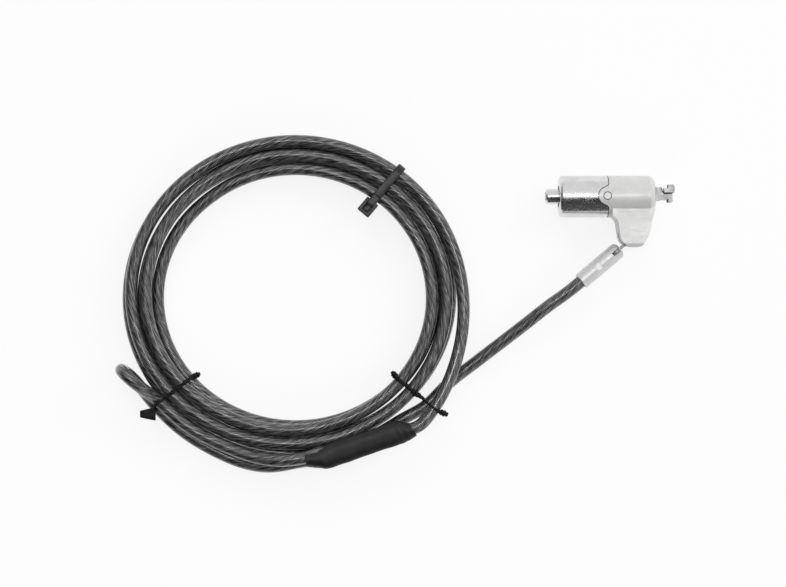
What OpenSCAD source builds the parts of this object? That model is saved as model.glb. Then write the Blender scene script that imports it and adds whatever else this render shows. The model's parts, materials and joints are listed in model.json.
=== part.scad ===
// Keyed push-to-lock laptop cable lock with a coiled steel cable.
// The lock body lies along X: the plug at -X, the security tip at +X, the fin towards -Y.
// It rests on the plane z = 0, shown unlocked, with the plug out.

/* [Shells] */
// Outer diameter of the round body
barrel_d = 15; // [14.6:0.2:17]
// Length of the rear barrel up to the seam
barrel_len = 17.4; // [16.4:0.2:18.4]
// Length of both shells together
body_len = 34.6; // [34:0.2:37]
// Wall of both shells
shell_wall = 1.5; // [1.2:0.1:1.7]
// Thickness of the rear barrel's end wall
end_wall = 1.6; // [1.2:0.1:2]
// Diameter of the recess round the plug in the end wall
recess_d = 8; // [7:0.2:9]
// Rounding of the rear edge
rear_round = 1.4; // [0.8:0.1:1.8]
// Gap along the seam between the shells
seam_gap = 0.12; // [0.1:0.01:0.2]
// Radius of the round tongues at the seam
tongue_r = 3.2; // [2.8:0.1:3.4]
// Radius of the seam's outer corners
seam_corner_r = 1.1; // [0.8:0.1:1.3]
// Distance of the seam's corner centres from the middle
seam_corner_y = 4.6; // [4.6:0.1:5]
// Rounding of the front edge along the body
nose_round_len = 2.4; // [1.6:0.1:3]
// Rounding of the front edge across the body
nose_round_h = 3.8; // [2.4:0.1:4]
// Diameter of the two cross pins
cross_pin_d = 2.3; // [1.6:0.1:2.6]

/* [Fin] */
// Thickness of the fin
fin_t = 12; // [10:0.5:12.6]
// Distance from the body's axis to the bottom of the fin
fin_drop = 18.1; // [17.8:0.1:19.5]
// Distance of the fin's rear side from the seam
fin_set = 1.4; // [1:0.1:2]
// Distance of the fin pin from the seam
fin_pin_x = 8.35; // [8:0.05:9]
// Distance of the fin pin below the body's axis
fin_pin_drop = 15.6; // [15:0.1:16]
// Diameter of the fin pin
fin_pin_d = 1.8; // [1.4:0.1:2]
// Metal left over the blind end of the fin pin
fin_pin_cover = 1; // [0.8:0.1:1.5]
// Width of the slot that takes the link
fin_slot_w = 2.8; // [2.6:0.1:3.2]
// Rounding of the fin's long edges
fin_edge_r = 1.2; // [0.6:0.1:1.6]

/* [Stator] */
// Radial clearance between the stator and the shells
stator_fit = 0.05; // [0.03:0.01:0.08]
// Length of the stator's front wall behind the nose post
stator_wall = 4.4; // [3.6:0.1:5]

/* [Plug] */
// Diameter of the push plug
plug_d = 5.6; // [5.4:0.1:6]
// How far the plug stands out of the rear end
plug_out = 4.6; // [4:0.1:5.5]
// Length of the plug shell
plug_shell_len = 13.6; // [13.4:0.1:14.4]
// Wall of the plug shell
plug_wall = 0.55; // [0.5:0.05:0.65]
// Lip that keeps the core in the plug
plug_lip = 0.6; // [0.5:0.1:0.8]
// Opening in the lip
plug_mouth_d = 3.4; // [3:0.1:3.6]
// Length of the plug base's flange
flange_len = 3.5; // [3:0.1:4]
// Travel of the plug
push_travel = 3.6; // [3:0.1:4]
// Running clearance of turning and sliding fits, per side
run_fit = 0.05; // [0.03:0.01:0.08]

/* [Core] */
// Length of the core rotor
rotor_len = 8.35; // [8.35:0.05:8.6]
// Wall of the rotor's sleeve
rotor_wall = 0.5; // [0.4:0.05:0.6]
// Thickness of the rotor's front plate
rotor_plate = 0.8; // [0.6:0.05:0.9]
// Width of the keyway
keyway_w = 0.9; // [0.7:0.1:1.1]
// Height of the keyway
keyway_h = 2.3; // [1.8:0.1:2.4]
// Number of lock discs
disc_count = 6; // [4:1:6]
// Thickness of a lock disc
disc_t = 0.8; // [0.6:0.05:0.85]
// Thickness of a disc spacer
spacer_t = 0.45; // [0.3:0.05:0.45]
// Width of the sidebar
sidebar_w = 0.6; // [0.4:0.05:0.7]
// Thickness of the cam plate
cam_t = 1.15; // [0.8:0.05:1.2]
// Throw of the cam's pin
cam_throw = 0.5; // [0.4:0.05:0.6]
// Diameter of the cam's pin
cam_pin_d = 0.7; // [0.5:0.05:0.8]
// Thickness of the latch bolt along the plug
bolt_t = 1.2; // [1:0.1:1.4]
// Width of the latch bolt
bolt_w = 2; // [1.8:0.1:2.2]
// How far the latch bolt stands out of the plug
bolt_out = 0.5; // [0.4:0.05:0.6]

/* [Rod and spring] */
// Diameter of the push rod
rod_d = 2.5; // [2.2:0.1:2.6]
// Width of the push rod's blade
blade_w = 1; // [0.8:0.05:1]
// Wire of the return spring
spring_wire = 0.5; // [0.4:0.05:0.6]
// Turns of the return spring
spring_turns = 6; // [5:1:7]

/* [Security tip] */
// Width of the tip across its jaws
tip_w = 2.6; // [2.4:0.1:2.8]
// Distance from the front face to the hooks
tip_grip = 4.5; // [4.4:0.1:5]
// Length of the hooks beyond the grip
hook_len = 2.7; // [2.4:0.1:3]
// Distance of the post's top above the body's axis
post_top = 3.4; // [3.2:0.1:3.6]
// Distance of the post's underside below the body's axis
post_low = 1.6; // [1.6:0.1:2]
// Height of the parting line between the jaws
parting_y = 1.15; // [1.1:0.05:1.3]
// Gap between the closed jaws
jaw_gap = 0.15; // [0.1:0.05:0.2]
// Diameter of the jaw pin
jaw_pin_d = 0.7; // [0.6:0.05:0.7]
// Diameter of the post's flange inside the housing
post_flange_d = 8.8; // [8:0.2:9.4]
// Thickness of the post's flange
post_flange_t = 2.6; // [2:0.1:3]
// Metal in front of the post's flange
nose_wall = 5.9; // [5.5:0.1:6.5]

/* [Link and ferrule] */
// Direction of the link from the fin pin, in the plane of the fin
link_angle = 220.1; // [210:0.1:230]
// Distance between the fin pin and the fold pin
link_len = 6.4; // [6.2:0.1:7]
// Thickness of the link in the fin's slot
link_t = 2.4; // [2:0.1:2.5]
// Radius of the link's eye
link_eye_r = 2; // [1.8:0.1:2.1]
// Thickness of the link's blade in the fork
link_blade = 1.1; // [0.9:0.1:1.2]
// Radius of the blade's end round the fold pin
link_end_r = 1.7; // [1.5:0.1:1.8]
// Diameter of the ferrule
ferrule_d = 6.1; // [5.8:0.1:6.6]
// Length of the ferrule
ferrule_len = 18.3; // [17:0.1:20]
// Chamfer on the ferrule's ends
ferrule_chamfer = 1; // [0.8:0.1:1.2]
// Width of the fork's slot
fork_w = 1.5; // [1.4:0.05:1.7]
// Diameter of the fold pin
fold_pin_d = 1.2; // [1:0.1:1.4]
// Diameter of the crimp mark on the ferrule
crimp_mark_d = 2.5; // [2:0.1:3]

/* [Cable] */
// Diameter of the cable over its jacket
cable_d = 4.5; // [4.2:0.1:4.6]
// Radius of the coil's outermost loop
coil_r = 58.9; // [58:0.1:60]
// Step of the coil from loop to loop in one layer
coil_pitch = 5.07; // [5.06:0.01:5.12]
// Step of the coil from the lower to the upper layer
layer_pitch = 4.95; // [4.95:0.05:5.2]
// Number of loops in the coil
coil_loops = 5; // [4:1:6]

/* [Sleeve and ties] */
// Width of the shrink sleeve
sleeve_w = 8.6; // [8:0.1:9]
// Thickness of the shrink sleeve
sleeve_t = 5.2; // [5:0.1:5.4]
// Length of the crimp tube inside the sleeve
crimp_len = 20; // [16:1:24]
// Thickness of the zip tie and the twist ties
tie_t = 1.1; // [0.9:0.05:1.1]
// Clearance of the ties round the cable
tie_gap = 0.15; // [0.15:0.05:0.25]
// Width of the zip tie's strap
zip_w = 2.8; // [2.4:0.1:3.2]
// Length and width of the zip tie's head
zip_head = 5; // [4.6:0.1:5.6]
// Width of the twist ties
twist_w = 1.6; // [1.4:0.1:2.4]
// Length and width of the left twist tie's flat end
flag_left = 4.6; // [4:0.1:5]
// Length and width of the right twist tie's knotted end
flag_right = 2.4; // [2:0.1:3]

/* [Hidden] */
$fn = 96;

over = 1;              // how far a cut runs past the metal it cuts
pin_fit = 0.02;        // clearance per side of a pin that is pressed into its hole
seat = 0.1;            // free play between pieces that stand behind one another
barrel_r = barrel_d / 2;
bore_r = barrel_r - shell_wall;
seam_in = barrel_len - seam_corner_r;
tongue_x = barrel_len - 0.5;
cross_pin_r = cross_pin_d / 2;

// Positions along the body, from the rear end
flange_front = body_len - nose_wall;
post_a = flange_front - seat - post_flange_t;
stator_rear = end_wall + seat;
stator_front = post_a - seat;
spring_stop = stator_front - stator_wall;
stator_r = bore_r - stator_fit;
plug_r = plug_d / 2;
plug_bore_r = plug_r - plug_wall;
plug_bore_a = plug_lip - plug_out;
shell_end = plug_shell_len - plug_out;
flange_end = shell_end + flange_len;
core_r = plug_bore_r - run_fit;
rotor_a = plug_bore_a + run_fit;
rotor_end = rotor_a + rotor_len;
disc_r = core_r - rotor_wall - run_fit;
disc_a = rotor_a + rotor_plate + seat;
disc_pitch = disc_t + spacer_t + run_fit;
disc_hole_r = 0.95;
cam_a = rotor_end + run_fit;
cam_end = cam_a + cam_t;
base_a = cam_end + seat;
bolt_a = base_a + seat;
bolt_low = plug_r + bolt_out;
bolt_top = 0.9;
bolt_play = 0.15;
rod_a = flange_end - 2;
rod_play = 0.15;
rod_r = rod_d / 2;
rod_end = stator_front - 1;
blade_low = 0.75;
blade_top = 0.22;
blade_step = 7.1;
blade_len = 11;
spring_r = plug_r - 0.55;

// Security tip, from the front face and the axis
pivot = [body_len + 2.65, 0.95];
post_bend = 2.2;
post_face = 3.12;
jaw_slope = 15;
jaw_eye_r = 0.75;
web_reach = 0.95;
web_play = 0.1;
tip_slot_w = blade_w + 0.3;
web_w = tip_slot_w - 2 * web_play;
lower_jaw_low = 1.26;
lower_hook = 2.16;
upper_top = 3;
upper_hook = 4.3;

// Fin, link and ferrule
fin_root = 4.5;        // how far the fin's metal reaches into the housing
fin_front_set = 0.6;   // from the front face back to the fin's front side
// The fin's sides as shares of its width and of its height, down the rear and up the front
fin_profile = [[0, 0.742], [0.059, 0.695], [0.112, 0.642], [0.145, 0.563], [0.178, 0.325],
    [0.191, 0.245], [0.217, 0.159], [0.27, 0.089], [0.355, 0.04], [0.48, 0], [0.671, 0],
    [0.717, 0.026], [0.77, 0.106], [0.849, 0.252], [0.901, 0.404], [0.921, 0.55], [0.947, 0.682],
    [1, 0.854]];
fin_pin = [barrel_len + fin_pin_x, -fin_pin_drop];
link_dir = [cos(link_angle), sin(link_angle)];
fork_back = 1.5;
ferrule_a = link_len - fork_back;
ferrule_r = ferrule_d / 2;
ferrule_end = ferrule_a + ferrule_len;
lip_depth = 1;
link_low = -fin_pin_drop + (link_len + link_end_r) * link_dir[1] + link_blade / 2 * link_dir[0];

// The whole lock is centred over the origin, without its cable
rear_x = plug_out - (plug_out + body_len + tip_grip + hook_len) / 2;
axis_y = -(barrel_r + link_low) / 2;
axis_z = barrel_r;

// Cable, in the part's own frame
cable_r = cable_d / 2;
coil_centre = [-114.3, -28.9];
coil_oval = [1.045, 0.98];
coil_start_angle = -51.5;
low_z = tie_t + tie_gap + cable_r;
rings_per_loop = 24;
coil_sides = 6;
tube_sides = 8;
flare_from = coil_loops - 0.2;
flare_span = 0.158;
flare_r = 4.4;
flare_z = 3;
sleeve_z = 12.1;
sleeve_right = [-71, -76.6, sleeve_z];
sleeve_right_dir = 212;
sleeve_mid_right = [-75.3, -77.3, sleeve_z];
sleeve_mid_left = [-102.7, -86.7, sleeve_z];
sleeve_left = [-109.4, -87.4, 10.4];
sleeve_left_dir = 190;
strand_side = 0.75;
strand_rise = 2.4;
lead_route = [[-22, -32.3, 7.1], [-29, -37.9, 6.1], [-35.5, -43, 5.1], [-42.5, -48.4, 4.3],
    [-50, -54.2, 3.7], [-58, -60.3, low_z]];
loop_route = [[-119, -87.9, 12.3], [-125.5, -87.2, 10.9], [-132.1, -85.5, 9.6], [-138.8, -82.8, 8.8],
    [-145.6, -79.7, 8.6], [-151.9, -76, 8.6], [-157.1, -71.6, 8.7], [-161.8, -67.2, 9.2],
    [-164.7, -64.4, 11.6], [-166.8, -62.4, 15.6], [-169, -60.2, 19.3], [-171.7, -57.8, 20.5],
    [-174.2, -55.8, 17.8], [-175.5, -55, 12.8], [-174.6, -56, 7.6], [-172.5, -58.3, 4.4],
    [-169.6, -61.7, low_z], [-166.1, -66.4, low_z], [-161.4, -71.5, low_z], [-156.7, -75.9, low_z],
    [-151.6, -79.8, low_z], [-146.5, -82.9, low_z], [-141.6, -85.5, low_z],
    [-136, -88, 3.7], [-130.4, -89.7, 4.6], [-124.5, -90.5, 6], [-119, -90.1, 7.3]];
loop_plane = [0.68, 0.733, 0];
zip_angle = 51.5;
left_angle = -139.4;
right_angle = -40;

// Small helpers
function unit(v) = v / norm(v);
function arc(c, r, from, to, n = 8) =
    [for (i = [0:n]) let (a = from + (to - from) * i / n) [c[0] + r * cos(a), c[1] + r * sin(a)]];
function rounded(w, h, r, n = 6) = concat(
    arc([w / 2 - r, h / 2 - r], r, 0, 90, n), arc([r - w / 2, h / 2 - r], r, 90, 180, n),
    arc([r - w / 2, r - h / 2], r, 180, 270, n), arc([w / 2 - r, r - h / 2], r, 270, 360, n));
function mix(a, b, u) = a + (b - a) * u;
function spline(p, n) = [
    for (i = [0:len(p) - 2]) for (k = [0:n - 1])
        let (u = k / n, a = p[max(i - 1, 0)], b = p[i], c = p[i + 1], d = p[min(i + 2, len(p) - 1)])
        (2 * b + (c - a) * u + (2 * a - 5 * b + 4 * c - d) * u * u
            + (3 * b - a - 3 * c + d) * u * u * u) / 2,
    p[len(p) - 1]];
function flat_dir(angle) = [cos(angle), sin(angle), 0];

// A tube swept along a path, with flat ends; ref is a direction that the path never follows
module tube(path, r, sides, ref = [0, 0, 1]) {
    last = len(path) - 1;
    points = [for (i = [0:last])
        let (t = unit(path[min(i + 1, last)] - path[max(i - 1, 0)]),
            across = unit(cross(ref, t)), up = cross(t, across))
        for (k = [0:sides - 1])
            path[i] + r * (cos(360 * k / sides) * across + sin(360 * k / sides) * up)];
    walls = [for (i = [0:last - 1]) for (k = [0:sides - 1])
        let (a = i * sides + k, b = i * sides + (k + 1) % sides)
        for (f = [[a, a + sides, b + sides], [a, b + sides, b]]) f];
    near = [for (k = [1:sides - 2]) [0, k, k + 1]];
    far = [for (k = [1:sides - 2]) [last * sides, last * sides + k + 1, last * sides + k]];
    polyhedron(points = points, faces = concat(near, walls, far));
}

// Moves from the lock body's own axes into the part's frame
module on_body() {
    translate([rear_x, axis_y, axis_z]) children();
}

// Turns a profile of [radius, distance] round the body's axis
module spin(points) {
    rotate([0, 90, 0]) rotate_extrude() polygon(points);
}

// A round rod along the body's axis
module rod(r, from, to) {
    translate([from, 0, 0]) rotate([0, 90, 0]) cylinder(r = r, h = to - from);
}

// Moves to the fin pin, with +X along the link
module on_link() {
    on_body() translate([fin_pin[0], fin_pin[1], 0]) rotate([0, 0, link_angle]) children();
}

// Outline of the rear barrel seen from above, grown by g
module rear_outline(g = 0) {
    side = barrel_r + over;
    r = seam_corner_r + g;
    polygon(concat([[-over, -side], [barrel_len + g, -side]],
        arc([seam_in, -seam_corner_y], r, 0, 90),
        arc([seam_in, seam_corner_y], r, -90, 0),
        [[barrel_len + g, side], [-over, side]]));
}

module rear_barrel() {
    color("silver") on_body() difference() {
        intersection() {
            spin(concat([[0, 0]], arc([barrel_r - rear_round, rear_round], rear_round, -90, 0),
                [[barrel_r, barrel_len + over], [0, barrel_len + over]]));
            translate([0, 0, -barrel_r - over]) linear_extrude(barrel_d + 2 * over) rear_outline();
        }
        rod(recess_d / 2, -over, end_wall + over);
        rod(bore_r, end_wall, barrel_len + 2 * over);
        translate([tongue_x, 0, -barrel_r - over]) cylinder(r = tongue_r + seam_gap,
            h = barrel_d + 2 * over);
    }
}

// Outline of the fin, seen from above, from inside the housing's wall
function fin_outline() =
    let (x0 = barrel_len + fin_set, w = body_len - fin_front_set - x0, root = fin_root - barrel_r)
    concat([[x0, root]], [for (p = fin_profile) [x0 + p[0] * w, mix(-fin_drop, root, p[1])]],
        [[x0 + w, root]]);

// Room for the link over its whole swing
module link_room() {
    up = 165;
    down = 304;
    reach = 14;
    half = 1.4;
    translate([fin_pin[0], fin_pin[1], -fin_slot_w / 2]) {
        cylinder(r = link_eye_r + 0.3, h = fin_slot_w);
        linear_extrude(fin_slot_w) polygon(concat(
            [half * [cos(up - 90), sin(up - 90)]],
            [for (a = [up, 195, 235, 270, down]) reach * [cos(a), sin(a)]
                + (a == up ? half * [cos(up - 90), sin(up - 90)] : [0, 0])
                + (a == down ? half * [cos(down + 90), sin(down + 90)] : [0, 0])],
            [half * [cos(down + 90), sin(down + 90)]]));
    }
}

module front_housing() {
    nose_r = barrel_r - nose_round_h;
    color("lightgray") on_body() difference() {
        union() {
            intersection() {
                spin(concat([[0, tongue_x - tongue_r - over],
                        [barrel_r, tongue_x - tongue_r - over]],
                    [for (i = [0:10]) [nose_r + nose_round_h * cos(9 * i),
                        body_len - nose_round_len + nose_round_len * sin(9 * i)]],
                    [[0, body_len]]));
                translate([0, 0, -barrel_r - over]) linear_extrude(barrel_d + 2 * over) union() {
                    difference() {
                        translate([seam_in + seam_gap, -barrel_r - over])
                            square([body_len, barrel_d + 2 * over]);
                        rear_outline(seam_gap);
                    }
                    translate([tongue_x, 0]) circle(r = tongue_r);
                }
            }
            intersection() {
                translate([0, 0, -fin_t / 2]) linear_extrude(fin_t) polygon(fin_outline());
                rotate([90, 0, 90]) linear_extrude(body_len + over)
                    polygon(concat([[0, -fin_t / 2]], [[0, fin_t / 2]],
                        arc([fin_edge_r - fin_drop, fin_t / 2 - fin_edge_r], fin_edge_r, 90, 180, 6),
                        arc([fin_edge_r - fin_drop, fin_edge_r - fin_t / 2], fin_edge_r, 180, 270,
                            6)));
            }
        }
        rod(bore_r, 0, post_a);
        rod(post_flange_d / 2 + stator_fit, post_a - seat / 2, flange_front);
        translate([flange_front - over, -post_low - run_fit, -tip_w / 2 - run_fit])
            cube([nose_wall + 2 * over, post_low + post_top + 2 * run_fit, tip_w + 2 * run_fit]);
        link_room();
        translate([fin_pin[0], fin_pin[1], -fin_t / 2 - over])
            cylinder(r = fin_pin_d / 2 + pin_fit, h = fin_t + over - fin_pin_cover + seat / 2);
        for (s = [-1, 1]) {
            translate([tongue_x, 0, s * (barrel_r - shell_wall / 2)])
                cylinder(r = cross_pin_r + pin_fit, h = 2 * shell_wall, center = true);
            translate([tongue_x, 0, s * (barrel_r + 0.35)])
                cylinder(r = cross_pin_r + 0.4, h = 1, center = true);
        }
    }
}

module barrel_pins() {
    color("white") on_body() for (s = [0, 180]) rotate([s, 0, 0])
        translate([tongue_x, 0, plug_r + 0.5]) cylinder(r = cross_pin_r, h = barrel_r - plug_r - 0.5);
}

module lock_stator() {
    color("dimgray") on_body() difference() {
        rod(stator_r, stator_rear, stator_front);
        rod(plug_r + run_fit, stator_rear - over, spring_stop);
        rod(rod_r + rod_play, spring_stop - over, stator_front + over);
        translate([bolt_a - 0.2, -bolt_low - 0.2, -bolt_w / 2 - bolt_play])
            cube([bolt_t + push_travel + 0.4, bolt_low, bolt_w + 2 * bolt_play]);
        for (s = [0, 180]) rotate([s, 0, 0]) translate([tongue_x, 0, plug_r + 0.4])
            cylinder(r = cross_pin_r + pin_fit, h = barrel_r);
    }
}

module plug_shell() {
    chamfer = 0.5;
    color("silver") on_body() difference() {
        spin([[0, -plug_out], [plug_r - chamfer, -plug_out], [plug_r, chamfer - plug_out],
            [plug_r, shell_end], [0, shell_end]]);
        rod(plug_mouth_d / 2, -plug_out - over, shell_end);
        rod(plug_bore_r, plug_bore_a, shell_end + over);
        translate([bolt_a - run_fit, -plug_r - over, -bolt_w / 2 - run_fit])
            cube([bolt_t + 2 * run_fit, plug_r + over, bolt_w + 2 * run_fit]);
    }
}

module plug_base() {
    color("gray") on_body() difference() {
        union() {
            rod(core_r, base_a, shell_end + over / 2);
            rod(plug_r, shell_end, flange_end);
        }
        translate([base_a - over, -plug_r, -bolt_w / 2 - run_fit])
            cube([over + seat + bolt_t + run_fit, plug_r + bolt_top + cam_throw + seat,
                bolt_w + 2 * run_fit]);
        rod(rod_r + pin_fit, rod_a, flange_end + over);
    }
}

module push_rod() {
    color("darkgray") on_body() union() {
        rod(rod_r, rod_a, rod_end);
        translate([rod_end - over / 2, -blade_low, -blade_w / 2])
            cube([blade_step + over / 2, 2 * blade_low, blade_w]);
        translate([rod_end + blade_step - over / 2, -blade_low, -blade_w / 2])
            cube([blade_len - blade_step + over / 2, blade_low - blade_top, blade_w]);
    }
}

module core_rotor() {
    color("silver") on_body() difference() {
        rod(core_r, rotor_a, rotor_end);
        rod(core_r - rotor_wall, rotor_a + rotor_plate, rotor_end + over);
        translate([rotor_a - over, -keyway_h / 2, -keyway_w / 2])
            cube([rotor_plate + 2 * over, keyway_h, keyway_w]);
        translate([disc_a, disc_r - over, -sidebar_w / 2 - run_fit])
            cube([rotor_end + over - disc_a, core_r, sidebar_w + 2 * run_fit]);
    }
}

// A round plate in the core, with the key's hole and a gate for the sidebar
module plate(thickness, hole_r, gate) {
    rotate([0, 90, 0]) difference() {
        cylinder(r = disc_r, h = thickness);
        translate([0, 0, -over]) cylinder(r = hole_r, h = thickness + 2 * over);
        if (gate) translate([-sidebar_w / 2 - run_fit, disc_r - 0.25, -over])
            cube([sidebar_w + 2 * run_fit, over, thickness + 2 * over]);
    }
}

module lock_discs() {
    color("goldenrod") on_body() for (i = [0:disc_count - 1])
        translate([disc_a + i * disc_pitch, 0, 0]) plate(disc_t, disc_hole_r, true);
}

module disc_spacers() {
    color("tan") on_body() for (i = [0:disc_count - 2])
        translate([disc_a + i * disc_pitch + disc_t + run_fit / 2, 0, 0])
            plate(spacer_t, disc_hole_r + 0.3, true);
}

module sidebar() {
    color("gray") on_body() translate([disc_a + run_fit, disc_r - 0.2, -sidebar_w / 2])
        cube([disc_count * disc_pitch - spacer_t - 0.3, core_r - disc_r + 0.1, sidebar_w]);
}

module cam_plate() {
    color("gray") on_body() union() {
        rod(core_r, cam_a, cam_end);
        translate([0, -cam_throw, 0]) rod(cam_pin_d / 2, cam_end - over / 2, bolt_a + bolt_t - seat);
    }
}

module latch_bolt() {
    yoke = cam_pin_d / 2 + bolt_play;
    color("darkgray") on_body() difference() {
        translate([bolt_a, -bolt_low, -bolt_w / 2]) cube([bolt_t, bolt_low + bolt_top, bolt_w]);
        translate([bolt_a - over, -cam_throw - yoke, -bolt_w])
            cube([bolt_t + 2 * over, 2 * yoke, bolt_w + yoke]);
    }
}

module return_spring() {
    from = flange_end + seat + spring_wire / 2;
    to = spring_stop - seat - spring_wire / 2;
    steps = 12 * spring_turns;
    color("gainsboro") on_body() tube([for (i = [0:steps])
        [mix(from, to, i / steps), (spring_r - spring_wire / 2) * cos(30 * i),
            (spring_r - spring_wire / 2) * sin(30 * i)]], spring_wire / 2, coil_sides, [1, 0, 0]);
}

module nose_post() {
    f = body_len;
    h = f + tip_grip;
    color("gainsboro") on_body() difference() {
        union() {
            rod(post_flange_d / 2, post_a, flange_front - seat);
            translate([0, 0, -tip_w / 2]) linear_extrude(tip_w) polygon([
                [flange_front - 2 * seat, -post_low], [f + 1.7, -post_low],
                [f + 2, -lower_jaw_low], [h - 0.1, -lower_jaw_low], [h, -lower_hook],
                [h + hook_len - 1.2, -lower_hook], [h + hook_len - 0.9, -lower_hook + 0.4],
                [h + hook_len - 0.9, parting_y - 0.2], [h + hook_len - 1.1, parting_y],
                [f + post_face, parting_y], [f + post_bend, post_top],
                [flange_front - 2 * seat, post_top]]);
        }
        rod(rod_r + rod_play, post_a - over, flange_front - seat);
        translate([post_a, -blade_low - rod_play, -tip_slot_w / 2])
            cube([pivot[0] - post_a, 2 * (blade_low + rod_play), tip_slot_w]);
        translate([pivot[0] - jaw_eye_r - 0.3, -blade_low - rod_play, -tip_slot_w / 2])
            cube([h + hook_len - 1.8 - pivot[0] + jaw_eye_r + 0.3, post_top + 2, tip_slot_w]);
        translate([pivot[0], pivot[1], -tip_w])
            cylinder(r = jaw_pin_d / 2 + pin_fit, h = 2 * tip_w, $fn = 48);
    }
}

module jaw_pin() {
    color("white") on_body() translate([pivot[0], pivot[1], -tip_w / 2])
        cylinder(d = jaw_pin_d, h = tip_w, $fn = 48);
}

module upper_jaw() {
    f = body_len;
    h = f + tip_grip;
    under = parting_y + jaw_gap;
    ramp = [cos(-jaw_slope), sin(-jaw_slope)];
    foot = pivot + web_reach * [ramp[1], -ramp[0]];
    color("gainsboro") on_body() difference() {
        union() {
            translate([0, 0, -tip_w / 2]) linear_extrude(tip_w) polygon([
                [f + 3.4, under], [h + hook_len - 0.3, under], [h + hook_len, upper_top + 0.3],
                [h + hook_len - 0.6, upper_hook], [h + 0.2, upper_hook], [h, upper_top],
                [f + 3.05, upper_top]]);
            translate([0, 0, -web_w / 2]) linear_extrude(web_w) polygon([
                pivot + [-0.2, 0.72], pivot + [-0.72, 0.2], pivot + [-0.72, -0.25], foot,
                foot + 2.6 * ramp, [h + 0.5, under + 0.3], [f + 3.6, under + 1]]);
            translate([pivot[0], pivot[1], -web_w / 2]) cylinder(r = jaw_eye_r, h = web_w, $fn = 64);
        }
        translate([pivot[0], pivot[1], -tip_w])
            cylinder(r = jaw_pin_d / 2 + run_fit, h = 2 * tip_w, $fn = 48);
    }
}

module fin_pin() {
    color("white") on_body() translate([fin_pin[0], fin_pin[1], -fin_t / 2])
        cylinder(d = fin_pin_d, h = fin_t - fin_pin_cover);
}

module link() {
    neck = link_blade / 2;
    neck_a = link_len - 3.3;
    color("lightgray") on_link() difference() {
        union() {
            translate([0, 0, -link_t / 2]) cylinder(r = link_eye_r, h = link_t);
            translate([0, 0, -link_t / 2]) linear_extrude(link_t) polygon([
                [0.4, -link_eye_r + 0.05], [neck_a, -neck], [link_len, -neck], [link_len, neck],
                [neck_a, neck], [0.4, link_eye_r - 0.05]]);
            translate([link_len, neck, 0]) rotate([90, 0, 0])
                cylinder(r = link_end_r, h = link_blade);
        }
        translate([0, 0, -link_t]) cylinder(r = fin_pin_d / 2 + run_fit, h = 2 * link_t);
        translate([link_len, link_eye_r, 0]) rotate([90, 0, 0])
            cylinder(r = fold_pin_d / 2 + run_fit, h = 2 * link_eye_r);
    }
}

module ferrule() {
    slot_end = link_len + link_end_r + 0.3;
    c = ferrule_chamfer;
    color("silver") on_link() difference() {
        spin([[0, ferrule_a], [ferrule_r - c, ferrule_a], [ferrule_r, ferrule_a + c],
            [ferrule_r, ferrule_end - c / 3], [ferrule_r - c / 3, ferrule_end], [0, ferrule_end]]);
        translate([ferrule_a - over, -fork_w / 2, -ferrule_r - over])
            cube([slot_end - ferrule_a + over, fork_w, ferrule_d + 2 * over]);
        translate([link_len, ferrule_d, 0]) rotate([90, 0, 0])
            cylinder(r = fold_pin_d / 2 + pin_fit, h = 2 * ferrule_d);
        rod(cable_r + 0.2, ferrule_end - lip_depth, ferrule_end + over);
        translate([ferrule_a + ferrule_len * 0.54, 0, ferrule_r - 0.35])
            cylinder(d = crimp_mark_d, h = over);
    }
}

module ferrule_pin() {
    length = 2 * sqrt(ferrule_r * ferrule_r - fold_pin_d * fold_pin_d / 4);
    color("white") on_link() translate([link_len, length / 2, 0]) rotate([90, 0, 0])
        cylinder(d = fold_pin_d, h = length);
}

// Place of the cable's centre line after a number of loops of the coil
function coil_radius(t) = coil_r - coil_pitch * min(t, coil_loops - t);
function coil_flare(t) = pow(max(0, (t - flare_from) / flare_span), 2);
function coil_point(t) =
    let (a = coil_start_angle - 360 * t, r = coil_radius(t) + flare_r * coil_flare(t),
        climb = min(1, max(0, 2 * (t - coil_loops / 2) + 0.5)))
    [coil_centre[0] + coil_oval[0] * r * cos(a), coil_centre[1] + coil_oval[1] * r * sin(a),
        low_z + layer_pitch * climb + flare_z * coil_flare(t)];
coil_tangent = unit(coil_point(1 / rings_per_loop) - coil_point(0));
coil_first = coil_point(0) - cable_d * coil_tangent;
coil_last = sleeve_right - cable_d * flat_dir(sleeve_right_dir);
coil_path = concat([coil_first],
    [for (i = [0:coil_loops * rings_per_loop - 1]) coil_point(i / rings_per_loop)],
    [coil_last, sleeve_right]);

lead_dir = flat_dir(link_angle);
lead_start = [rear_x + fin_pin[0], axis_y + fin_pin[1], axis_z]
    + (ferrule_end - lip_depth) * lead_dir;
lead_path = concat([lead_start, lead_start + 1.5 * cable_d * lead_dir], lead_route,
    [coil_first - 1.5 * cable_d * coil_tangent, coil_first]);

left_dir = flat_dir(sleeve_left_dir);
left_side = flat_dir(sleeve_left_dir + 90);
strand_out = sleeve_left + strand_rise * [0, 0, 1] - strand_side * left_side;
strand_in = sleeve_left - strand_rise * [0, 0, 1] + strand_side * left_side;
loop_path = concat([strand_out],
    spline(concat([strand_out + cable_d * left_dir], loop_route, [strand_in + cable_d * left_dir]),
        2), [strand_in]);

// Least distance between points of a path that lie more than a number of rings apart
function least_gap(p, apart) = min([for (i = [0:len(p) - 1]) for (j = [i + apart:1:len(p) - 1])
    norm(p[i] - p[j])]) - cable_d;
function path_length(p) = len(p) < 2 ? 0 : [for (i = 1, s = norm(p[1] - p[0]); i < len(p);
    i = i + 1, s = s + (i < len(p) ? norm(p[i] - p[i - 1]) : 0)) s][len(p) - 2];
echo(coil_gap = least_gap(coil_path, 12), loop_gap = least_gap(loop_path, 8));
echo(lead_length = path_length(lead_path), coil_length = path_length(coil_path),
    loop_length = path_length(loop_path));

module cable_lead() {
    color("dimgray") tube(lead_path, cable_r, tube_sides);
}

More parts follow.
